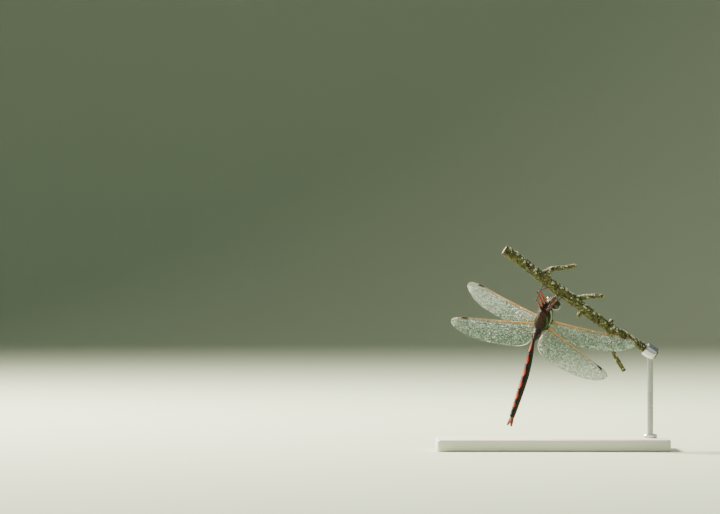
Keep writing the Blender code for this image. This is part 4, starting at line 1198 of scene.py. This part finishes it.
def cell_seeds(wing, u, table, random):
    """Middles of the wing's cells in span and chord millimetres. Each gap between two neighbouring
    veins holds whole rows of cells, set half a cell apart from row to row."""
    lead, trail = wing_edges(wing, u)
    chord = trail - lead
    length = wing["length"]
    order = np.sort(table, axis=0)
    count = np.sum(~np.isnan(table), axis=0)
    seeds = []
    for gap in range(len(table) - 1):
        alive = gap + 1 < count
        wide = np.where(alive, (order[min(gap + 1, len(table) - 1)] - order[gap]) * chord, 0)
        position = u[0] * length
        while position < u[-1] * length:
            i = min(int((position / length - u[0]) / (u[1] - u[0])), len(u) - 1)
            width = wide[i] if alive[i] and np.isfinite(wide[i]) else 0
            height = np.interp(position / length, (0, 0.4, 1), (1.0, 0.82, 0.66))
            if width > 0.18:
                rows = max(1, int(round(width / height)))
                place = lead[i] + order[gap][i] * chord[i]
                for row in range(rows):
                    stagger = 0.5 * (row % 2) * height
                    seeds.append((position + stagger, place + width * (row + 0.5) / rows))
                step = 1.35 if rows == 1 and gap < 3 else height
            else:
                step = 0.6
            position += step
    seeds = np.array(seeds)
    seeds = seeds + random.normal(0, 0.05, seeds.shape)
    rim = u[::8]
    rim_lead, rim_trail = wing_edges(wing, rim)
    outside = np.vstack([np.column_stack([rim * length, rim_lead - 0.45]),
                         np.column_stack([rim * length, rim_trail + 0.45]),
                         [[length + 0.6, k] for k in (-3, -2, -1, 0, 1)],
                         [[-0.5, k] for k in (-1, 0, 1)]])
    return seeds, outside


def cell_walls(seeds, outside):
    """The lines between neighbouring cells: each joins the centres of the circles through two
    touching triangles of the seeds' triangulation."""
    points = np.vstack([seeds, outside])
    result = delaunay_2d_cdt([Vector(p) for p in points.tolist()], [], [], 0, 1e-6)
    place = np.array([tuple(p) for p in result[0]])
    triangles = np.array([tuple(t) for t in result[2] if len(t) == 3])
    a, b, c = (place[triangles[:, k]] for k in range(3))
    area = 2 * ((b - a)[:, 0] * (c - a)[:, 1] - (b - a)[:, 1] * (c - a)[:, 0])
    area = np.where(np.abs(area) < 1e-9, 1e-9, area)
    b2, c2 = ((b - a) ** 2).sum(1), ((c - a) ** 2).sum(1)
    centre = a + np.column_stack([((c - a)[:, 1] * b2 - (b - a)[:, 1] * c2) / area,
                                  ((b - a)[:, 0] * c2 - (c - a)[:, 0] * b2) / area])
    sides = np.sort(np.vstack([triangles[:, (0, 1)], triangles[:, (1, 2)], triangles[:, (2, 0)]]), axis=1)
    owner = np.tile(np.arange(len(triangles)), 3)
    order = np.lexsort((sides[:, 1], sides[:, 0]))
    sides, owner = sides[order], owner[order]
    same = (sides[1:] == sides[:-1]).all(axis=1)
    return centre[owner[:-1][same]], centre[owner[1:][same]]


def net_lines(wing, veins, random):
    """Ends of every cross vein as span and chord shares. Ends that fall close to a main vein are
    moved onto it, and lines that would lie along a vein or outside the wing are dropped."""
    u, table = vein_table(wing, veins)
    starts, ends = cell_walls(*cell_seeds(wing, u, table, random))
    length = wing["length"]
    snapped = []
    for side in (starts, ends):
        along = np.clip(side[:, 0] / length, u[0], u[-1])
        lead, trail = wing_edges(wing, along)
        chord = np.maximum(trail - lead, 0.3)
        share = (side[:, 1] - lead) / chord
        lines = np.array([np.interp(along, u, np.where(np.isnan(row), -9, row)) for row in table])
        off = np.abs(lines - share) * chord
        nearest = off.argmin(axis=0)
        close = (off.min(axis=0) < 0.3) | (share < 0) | (share > 1)
        nearest = np.where(share < 0, 0, np.where(share > 1, len(table) - 1, nearest))
        on = lines[nearest, np.arange(len(along))]
        snapped.append((along, np.where(close, np.clip(on, 0, 1), share), np.where(close, nearest, -1)))
    (u0, v0, n0), (u1, v1, n1) = snapped
    chord = np.subtract(*wing_edges(wing, (u0 + u1) / 2)[::-1])
    long = np.hypot((u1 - u0) * length, (v1 - v0) * chord)
    keep = ~((n0 == n1) & (n0 >= 0)) & (long > 0.12) & (long < 2.6)
    keep &= ~((np.minimum(u0, u1) > STIGMA_SPAN[0]) & (np.maximum(u0, u1) < STIGMA_SPAN[1])
              & (np.maximum(v0, v1) < 0.13))
    return u0[keep], v0[keep], u1[keep], v1[keep]


def edge_stations(first, count, tip_count, turn):
    """Places along an edge of a wing: even steps, then closer and closer ones round the tip, on a
    sine that begins at the turn given."""
    tip = np.sin(np.linspace(turn, math.pi / 2, tip_count))
    return np.concatenate([np.linspace(first, 0.95, count), 0.95 + 0.046 * tip])


def build_wing(name, wing, veins, crosses, side, membrane, vein, stigma):
    """One wing: a thin closed membrane, its veins, and the dark stigma at its leading edge."""
    node = f"{name}_{'left' if side > 0 else 'right'}"
    first = WING_START / wing["length"]
    u = first + (0.9955 - first) * np.sin(np.linspace(0, math.pi / 2, 190)) ** 1.1
    v = 0.5 - 0.5 * np.cos(np.linspace(0, math.pi, 70))
    over = np.concatenate([v, v[-2:0:-1]])
    half = 0.016 * np.concatenate([np.sin(math.pi * v), -np.sin(math.pi * v[-2:0:-1])])
    rings = blade(wing, side, u[:, None], over[None, :], half[None, :])
    amber = np.clip(0.9 - u[:, None] / 0.12, 0, 1) * np.clip(1.1 - over[None, :] * 1.5, 0, 1)
    solid(f"{node}_membrane", Shell().tubes(rings, amber=amber), (membrane,), (node,))

    shell = Shell()
    u0, v0, u1, v1 = net_lines(wing, veins, np.random.default_rng(31))
    t = np.linspace(0, 1, 3)[None, :]
    lines = blade(wing, side, u0[:, None] + (u1 - u0)[:, None] * t, v0[:, None] + (v1 - v0)[:, None] * t)
    radius = np.interp((u0 + u1) / 2, (0, 0.5, 1), (0.075, 0.066, 0.056))
    amber = np.clip(1.0 - (v0 + v1) / 2 * 7, 0, 1) * 0.7
    fields = np.broadcast_to(amber[:, None, None], (len(u0), 3, 4))
    shell.tubes(tube_rings(lines, np.broadcast_to(radius[:, None], (len(u0), 3)), 4), amber=fields)

    def long_vein(u_row, v_row, radii, amber_row, pale=0.0, sides=8, stout=1.0):
        """One tube along the blade, whose radius runs through the given ones."""
        path = blade(wing, side, u_row, v_row)
        radius_row = np.interp(np.linspace(0, 1, len(u_row)), np.linspace(0, 1, len(radii)), radii)
        rows = np.broadcast_to(np.asarray(amber_row, float).reshape(-1, 1), (len(u_row), sides))
        pales = np.broadcast_to(np.asarray(pale, float).reshape(-1, 1), (len(u_row), sides))
        stouts = np.full(rows.shape, stout)
        shell.tubes(tube_rings(path, radius_row, sides), amber=rows, pale=pales, stout=stouts)

    for key, (knots, thick, thin) in veins.items():
        start, stop = knots[0][0], knots[-1][0]
        row = np.linspace(0.0 if start <= 0.02 else start, min(stop, 0.993), 90)
        across = np.clip(smooth_row(knots, np.maximum(row, start))[:, 0], 0, 1)
        across = np.where(row < start, knots[0][1], across)
        tint = {"subcosta": 0.45, "radius": 0.25}.get(key, 0.0)
        long_vein(row, across, (thick, (thick + thin) / 2, thin), tint + np.clip(0.5 - row * 4, 0, 0.5),
                  stout=0.9 if key in ("subcosta", "radius") else 0.2)
    edge = edge_stations(0.0, 150, 30, 0.05)
    long_vein(edge, np.zeros_like(edge), (0.22, 0.2, 0.17, 0.14, 0.12, 0.08),
              np.interp(edge, (0, 0.5, 0.75, 1), (1, 0.85, 0.3, 0.05)))
    margin = edge_stations(first * 0.6, 220, 40, 0.03)
    if name == "hindwing":
        girth = np.interp(margin, (0.0, 0.05, 0.2, 0.3, 1.0), (0.16, 0.24, 0.2, 0.08, 0.06))
        white = np.clip(1.15 - np.abs(margin - 0.12) / 0.13, 0, 1)
    else:
        girth = np.interp(margin, (0.0, 0.06, 0.2, 1.0), (0.16, 0.1, 0.075, 0.06))
        white = np.clip(0.8 - margin / 0.08, 0, 1)
    long_vein(margin, np.ones_like(margin), girth, 0.1, white)
    tip = np.linspace(0, 1, 30)
    long_vein(np.full(30, 0.9958), tip, (0.07, 0.06), 0.1)
    bar = np.linspace(0, 1, 10)
    lead, trail = wing_edges(wing, crosses["notch"])
    long_vein(np.full(10, crosses["notch"]), bar * 1.5 / (trail - lead), (0.22, 0.18, 0.1), 0.8, 0.35)
    low, high = crosses["arch_ends"]
    long_vein(np.full(10, crosses["arch"]), low + (high - low) * bar, (0.17, 0.15), 0.6, 0.6)
    corners = crosses["triangle"]
    for (ua, va), (ub, vb) in zip(corners, corners[1:] + corners[:1]):
        long_vein(ua + (ub - ua) * bar, va + (vb - va) * bar, (0.1, 0.1), 0.05)
    solid(f"{node}_veins", shell, (vein,))

    u = np.linspace(*STIGMA_SPAN, 40)[:, None]
    a = circle(20)[None, :]
    edge_share = smooth_row(veins["radius"][0], u[:, 0])[:, :1]
    end = np.sqrt(np.clip(1 - (np.abs(u - np.mean(STIGMA_SPAN)) / (0.5005 * np.ptp(STIGMA_SPAN))) ** 8, 0, 1))
    across = edge_share * (0.5 + 0.58 * np.cos(a) * end)
    thick = 0.235 * np.sign(np.sin(a)) * np.abs(np.sin(a)) ** 0.4 * end
    rings = blade(wing, side, u + 0.006 * np.cos(a), across, thick)
    solid(f"{node}_stigma", Shell().tubes(rings), (stigma,))


# ---------------------------------------------------------------- perch

# Knobs on the stems: place along, height and width
TWIG_KNOBS = ((9.0, 0.35, 0.8), (24.5, 0.45, 1.1), (43.5, 0.55, 1.0), (51.0, 0.3, 0.8), (66.5, 0.5, 1.3),
              (80.0, 0.35, 0.9))
SHOOT_KNOBS = ((4.5, 0.3, 0.5), (8.0, 0.3, 0.6), (13.0, 0.35, 0.5), (18.0, 0.3, 0.5))
TAPERED_SHOOTS = (3, 4)           # short stubs with a rounded end, not sawn
LICHEN_COUNTS = (400, 80, 80, 110, 20, 20)         # crusts on the twig and on each shoot
LICHEN_LARGEST = (0.75, 0.45, 0.45, 0.5, 0.4, 0.4)
LICHEN_SMALLEST = 0.12


def bark_tube(path, radius, seed, around, knobs):
    """A bark-covered stem: rings carried along its path, their radius broken by broad swellings,
    lengthwise cracks and fine crust. Returns the rings and the relief in shares of its depth."""
    rings = tube_rings(path, radius, around)
    centre = path[:, None]
    out = unit(rings - centre)
    stretch = np.concatenate([[0], np.cumsum(np.linalg.norm(np.diff(path, axis=0), axis=1))])[:, None, None]
    grain = np.concatenate([out * 2.6, stretch * np.ones((*rings.shape[:2], 1)) * 0.28], -1)
    slow = lattice_noise(rings, 4.0, seed) * 0.2 + lattice_noise(rings, 1.6, seed + 1) * 0.24
    cracks = (lattice_noise(grain[..., (0, 1, 3)], 0.22, seed + 2) * 0.5
              + lattice_noise(grain[..., (1, 2, 3)], 0.13, seed + 3) * 0.5)
    crust = lattice_noise(rings, 0.5, seed + 4)
    collars = np.zeros(rings.shape[:2])
    for at, height, width in knobs:
        collars = collars + height * ridge(stretch[..., 0] - at, width)
    relief = 0.6 * cracks + 0.5 * crust
    height = slow + 0.2 * relief + collars
    size = np.asarray(radius)[:, None] / 2.6
    return rings + out * (height * size - 0.15)[..., None], relief


def build_perch(bark, lichen, wood):
    """The cut twig with its shoots and stubs, crusted with lichen, and its sawn ends."""
    x = np.linspace(TWIG_PATH[0][0], TWIG_PATH[-1][0], 420)
    path = np.column_stack([x, smooth_row(TWIG_PATH, x)])
    radius = np.interp(x, np.array(TWIG_PATH)[:, 0], TWIG_RADII)
    shell = Shell()
    twig, relief = bark_tube(path, radius, 40, 96, TWIG_KNOBS)
    shell.tubes(twig, relief=relief)
    stems = []
    for number, points in enumerate(SHOOTS):
        t = np.linspace(0, 1, 150)
        route = smooth_row(np.column_stack([np.arange(4) / 3, np.array(points, float)]), t)
        swell = np.interp(t, np.arange(4) / 3, (1.55, 1.1, 1.0, 0.92)) * 1.25
        rings, ridges = bark_tube(route, swell, 60 + 5 * number, 48, SHOOT_KNOBS)
        if number in TAPERED_SHOOTS:
            taper = np.sqrt(np.clip(1 - (t / 1.02) ** 6, 0.02, 1))[:, None, None]
            rings = rings.mean(axis=1, keepdims=True) * (1 - taper) + rings * taper
        shell.tubes(rings, relief=ridges)
        stems.append(rings)
    solid("perch_bark", shell, (bark,), ("perch_twig", *(f"perch_shoot_{n}" for n in range(1, 6))))
    build_lichen(twig, stems, lichen)

    sawn = Shell()
    for rings, reverse in ((twig, False), (twig, True), (stems[0], True), (stems[1], True), (stems[2], True)):
        ring = rings[-1] if reverse else rings[0]
        outward = unit((rings[-1] - rings[-3] if reverse else rings[0] - rings[2]).mean(axis=0))
        middle = ring.mean(axis=0)
        share = np.array([0.86, 0.86, 0.8, 0.5, 0.15])[:, None, None]
        lift = np.array([-0.3, 0.02, 0.06, 0.07, 0.07])[:, None, None]
        disc = middle + (ring - middle)[None] * share + outward * lift
        sawn.tubes(disc, out=np.linalg.norm(disc - middle, axis=-1))
    solid("sawn_ends", sawn, (wood,))


def build_lichen(twig, stems, finish):
    """Crusts of lichen on the bark: low lobed cushions, most along the upper side and the knobs,
    each three rings rising from under the bark to a flat top."""
    random = np.random.default_rng(77)
    shell = Shell()
    for stem, count, largest in zip((twig, *stems), LICHEN_COUNTS, LICHEN_LARGEST):
        normals = grid_normals(stem)
        rows = random.integers(4, len(stem) - 4, count * 3)
        columns = random.integers(0, stem.shape[1], count * 3)
        upward = normals[rows, columns, 2] + 0.35 * normals[rows, columns, 0]
        chosen = np.argsort(-(upward + random.normal(0, 0.5, count * 3)))[:count]
        rows, columns = rows[chosen], columns[chosen]
        root, out = stem[rows, columns], normals[rows, columns]
        first = unit(np.cross(out, random.normal(0, 1, (count, 3))))
        second = np.cross(out, first)
        size = LICHEN_SMALLEST + (largest - LICHEN_SMALLEST) * random.uniform(0, 1, count) ** 2.5
        a = circle(18)
        phase = random.uniform(0, WHOLE, (count, 2, 1))
        outline = 1 + 0.22 * np.sin(3 * a + phase[:, 0]) + 0.16 * np.sin(5 * a + phase[:, 1])
        reach = np.array([1.0, 1.02, 0.8, 0.35])
        lift = np.array([-0.25, 0.03, 0.13, 0.1])
        r = size[:, None, None] * reach[None, :, None] * outline[:, None, :]
        tall = lift[None, :, None] * (0.6 + 0.6 * size)[:, None, None]
        sag = -0.1 * r ** 2
        rings = (root[:, None, None] + first[:, None, None] * (r * np.cos(a))[..., None]
                 + second[:, None, None] * (r * np.sin(a))[..., None]
                 + out[:, None, None] * (tall + sag)[..., None])
        orange = (random.uniform(0, 1, count) < 0.02).astype(float)
        shell.tubes(rings, orange=np.broadcast_to(orange[:, None, None], rings.shape[:3]))
    solid("lichen_crusts", shell, (finish,))


# ---------------------------------------------------------------- stand

def in_mm(node):
    """A node's lowest and highest corner, in millimetres."""
    low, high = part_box(node)
    return np.array(low) / MM, np.array(high) / MM


SLEEVE_BORE = 2.5
SLEEVE_RADIUS = 3.4
SLEEVE_HALF = 3.0                 # half its length


def build_stand(board_paint, steel):
    """The display stand: a board, a rod and the sleeve round the twig's low end."""
    build_board(board_paint)
    build_rod(steel)
    build_sleeve(steel)


def build_board(finish):
    """A flat board with rounded corners, whose top and bottom edges are eased by quarter rounds."""
    low, high = in_mm("stand_base")
    edge = 1.0
    steps = np.linspace(0, math.pi / 2, 8)
    inset = np.concatenate([edge * (1 - np.sin(steps)), edge * (1 - np.cos(steps))])
    height = np.concatenate([low[2] + edge * (1 - np.cos(steps)), high[2] - edge * (1 - np.sin(steps))])
    corner = 2.2
    a = circle(96) + WHOLE / 192
    sx, sy = np.sign(np.cos(a)), np.sign(np.sin(a))
    centre, half = (low + high) / 2, (high - low) / 2
    rings = np.stack([np.column_stack([centre[0] + sx * (half[0] - corner) + np.cos(a) * (corner - i),
                                       centre[1] + sy * (half[1] - corner) + np.sin(a) * (corner - i),
                                       np.full(96, z)]) for i, z in zip(inset, height)])
    board = solid("stand_board", Shell().tubes(rings), (finish,), ("stand_base",))
    board.data.set_sharp_from_angle(angle=math.radians(50))


def build_rod(steel):
    """One upright rod that runs on into the sleeve, in a small foot ring on the board."""
    low, high = in_mm("stand_rod")
    middle = (low + high) / 2
    radius = (high[0] - low[0]) / 2
    z = np.array([low[2], low[2] + 0.15, high[2], high[2] + 0.9, high[2] + 1.0])
    path = np.column_stack([np.full(5, middle[0]), np.full(5, middle[1]), z])
    rod = Shell().tubes(tube_rings(path, radius * np.array([0.92, 1, 1, 1, 0.9]), 48))
    board_top = in_mm("stand_base")[1][2]
    z = board_top + np.array([-0.2, 0.0, 1.5, 1.9, 2.0])
    path = np.column_stack([np.full(5, middle[0]), np.full(5, middle[1]), z])
    rod.tubes(tube_rings(path, np.array([3.4, 3.5, 3.5, 3.2, 2.6]), 56))
    item = solid("steel_rod", rod, (steel,), ("stand_rod",))
    item.data.set_sharp_from_angle(angle=math.radians(35))


def build_sleeve(steel):
    """A short pipe with eased rims round the twig, held by one grub screw on its front."""
    centre, heading, _ = twig_point(TWIG_PATH[-1][0] - SLEEVE_HALF)
    t = np.linspace(-SLEEVE_HALF, SLEEVE_HALF, 13)
    outer = centre + heading * t[:, None]
    rim = np.interp(np.abs(t), (0, 2.6, SLEEVE_HALF), (SLEEVE_RADIUS, SLEEVE_RADIUS, 3.2))
    path = np.vstack([outer, outer[::-1]])
    first, second = path_frames(outer)
    radii = np.concatenate([rim, np.full(13, SLEEVE_BORE)])
    turn = circle(64)[:, None]
    across = first[0] * np.cos(turn) + second[0] * np.sin(turn)
    rings = path[:, None] + across[None] * radii[:, None, None]
    sleeve = ring_sleeve(rings)
    ahead = np.array([0, -1.0, 0])
    front = unit(ahead - heading * (ahead @ heading))
    screw = centre + front * np.linspace(2.9, 3.75, 6)[:, None]
    sleeve.tubes(tube_rings(screw, np.array([0.7, 0.7, 0.7, 0.7, 0.66, 0.5]), 24))
    item = solid("steel_sleeve", sleeve, (steel,), ("stand_collar",))
    item.data.set_sharp_from_angle(angle=math.radians(35))


def ring_sleeve(rings):
    """A pipe closed on itself: rings along the outside, then back along the inside."""
    shell = Shell()
    n, m = rings.shape[:2]
    i, j = (g.ravel() for g in np.meshgrid(np.arange(n), np.arange(m), indexing="ij"))
    quads = np.stack([i * m + j, i * m + (j + 1) % m, (i + 1) % n * m + (j + 1) % m, (i + 1) % n * m + j], 1)
    a, b, c, d = (rings.reshape(-1, 3)[quads[:, q]] for q in range(4))
    volume = ((a * np.cross(b, c)).sum(-1) + (a * np.cross(c, d)).sum(-1)).sum()
    shell.points.append(rings.reshape(-1, 3))
    shell.quads.append(quads if volume > 0 else quads[:, ::-1])
    shell.count = n * m
    return shell


# ---------------------------------------------------------------- studio

def build_floor():
    """A pale round floor that curves up into a wall well beyond the camera."""
    matt = Finish("matt_studio_floor", Roughness=0.9, IOR=1.4)
    bend = np.linspace(0, math.pi / 2, 24)
    radius = np.concatenate([[0.01, 0.2, 1.0, 2.5], 3.6 + 1.2 * np.sin(bend), [4.8]])
    height = np.concatenate([[0, 0, 0, 0], 1.2 * (1 - np.cos(bend)), [3.4]])
    around = 128
    turn = circle(around)
    points = np.stack([radius[:, None] * np.cos(turn), radius[:, None] * np.sin(turn),
                       np.repeat(height[:, None], around, 1)], -1).reshape(-1, 3)
    i, j = (g.ravel() for g in np.meshgrid(np.arange(len(radius) - 1), np.arange(around), indexing="ij"))
    after = (j + 1) % around
    faces = np.stack([i * around + j, (i + 1) * around + j, (i + 1) * around + after, i * around + after], 1)
    mesh = bpy.data.meshes.new("studio_floor")
    mesh.from_pydata(points.tolist(), [], faces.tolist() + [list(range(around))])
    mesh.shade_smooth()
    mesh.materials.append(matt.dress(matt.mottle(900.0, "#AEBCA4", "#B2BFA8")))
    floor = bpy.data.objects.new("studio_floor", mesh)
    bpy.context.scene.collection.objects.link(floor)


# Soft lights: place, size across, watts and tint
LIGHTS = dict(key_behind_left=((-1.3, 0.8, 1.25), 0.5, 290, "#FFF4E0"),
              soft_front=((0.9, -1.9, 1.3), 1.6, 7, "#F4F8FF"),
              overhead=((0.0, 0.2, 2.3), 2.4, 30, "#FFFFFF"))
LIGHT_AIM = (0.0, 0.0, 0.06)
CAMERA_AT = (-0.096, -3.0, 0.0965)
CAMERA_LENS = 300.0


def add_light(name, place, size, power, tint):
    """One round soft light aimed at the model."""
    lamp = bpy.data.lights.new(name, "AREA")
    lamp.shape = "DISK"
    lamp.size = size
    lamp.energy = power
    lamp.color = paint(tint)[:3]
    item = bpy.data.objects.new(name, lamp)
    item.location = place
    item.rotation_euler = (Vector(LIGHT_AIM) - Vector(place)).to_track_quat("-Z", "Y").to_euler()
    item.visible_camera = False
    bpy.context.scene.collection.objects.link(item)


def build_studio():
    """The floor, three soft lights, a dim pale surround, and the level camera."""
    build_floor()
    for name, settings in LIGHTS.items():
        add_light(name, *settings)
    world = bpy.data.worlds.new("studio")
    world.use_nodes = True
    surround = world.node_tree.nodes["Background"]
    surround.inputs["Color"].default_value = paint("#E9EDEA")
    surround.inputs["Strength"].default_value = 0.2
    bpy.context.scene.world = world
    lens = bpy.data.cameras.new("camera")
    lens.lens = CAMERA_LENS
    lens.sensor_width = 36.0
    lens.clip_start = 0.05
    lens.clip_end = 40.0
    camera = bpy.data.objects.new("camera", lens)
    camera.location = CAMERA_AT
    camera.rotation_euler = (math.radians(90), 0, 0)
    bpy.context.scene.collection.objects.link(camera)
    bpy.context.scene.camera = camera


def main():
    """The studio, then the insect from body to wings, then its perch and stand."""
    build_studio()
    hair, horn, leg, lens = coat_hair(), horn_black(), leg_cuticle(), eye_lens()
    build_skin(thorax_cuticle(), abdomen_cuticle(), hair)
    build_wing_roots(leg)
    tail = tail_cuticle()
    build_second_segment(tail)
    build_tail(tail)
    build_eyes(lens)
    build_head(face_cuticle(), lens, horn, hair)
    build_legs(leg, horn)
    membrane, vein, stigma = wing_membrane(), wing_vein(), stigma_cuticle()
    for side in (1, -1):
        build_wing("forewing", FOREWING, FORE_VEINS, FORE_CROSSES, side, membrane, vein, stigma)
        build_wing("hindwing", HINDWING, HIND_VEINS, HIND_CROSSES, side, membrane, vein, stigma)
    build_perch(twig_bark(), lichen_crust(), cut_wood())
    build_stand(painted_board(), brushed_steel())


main()
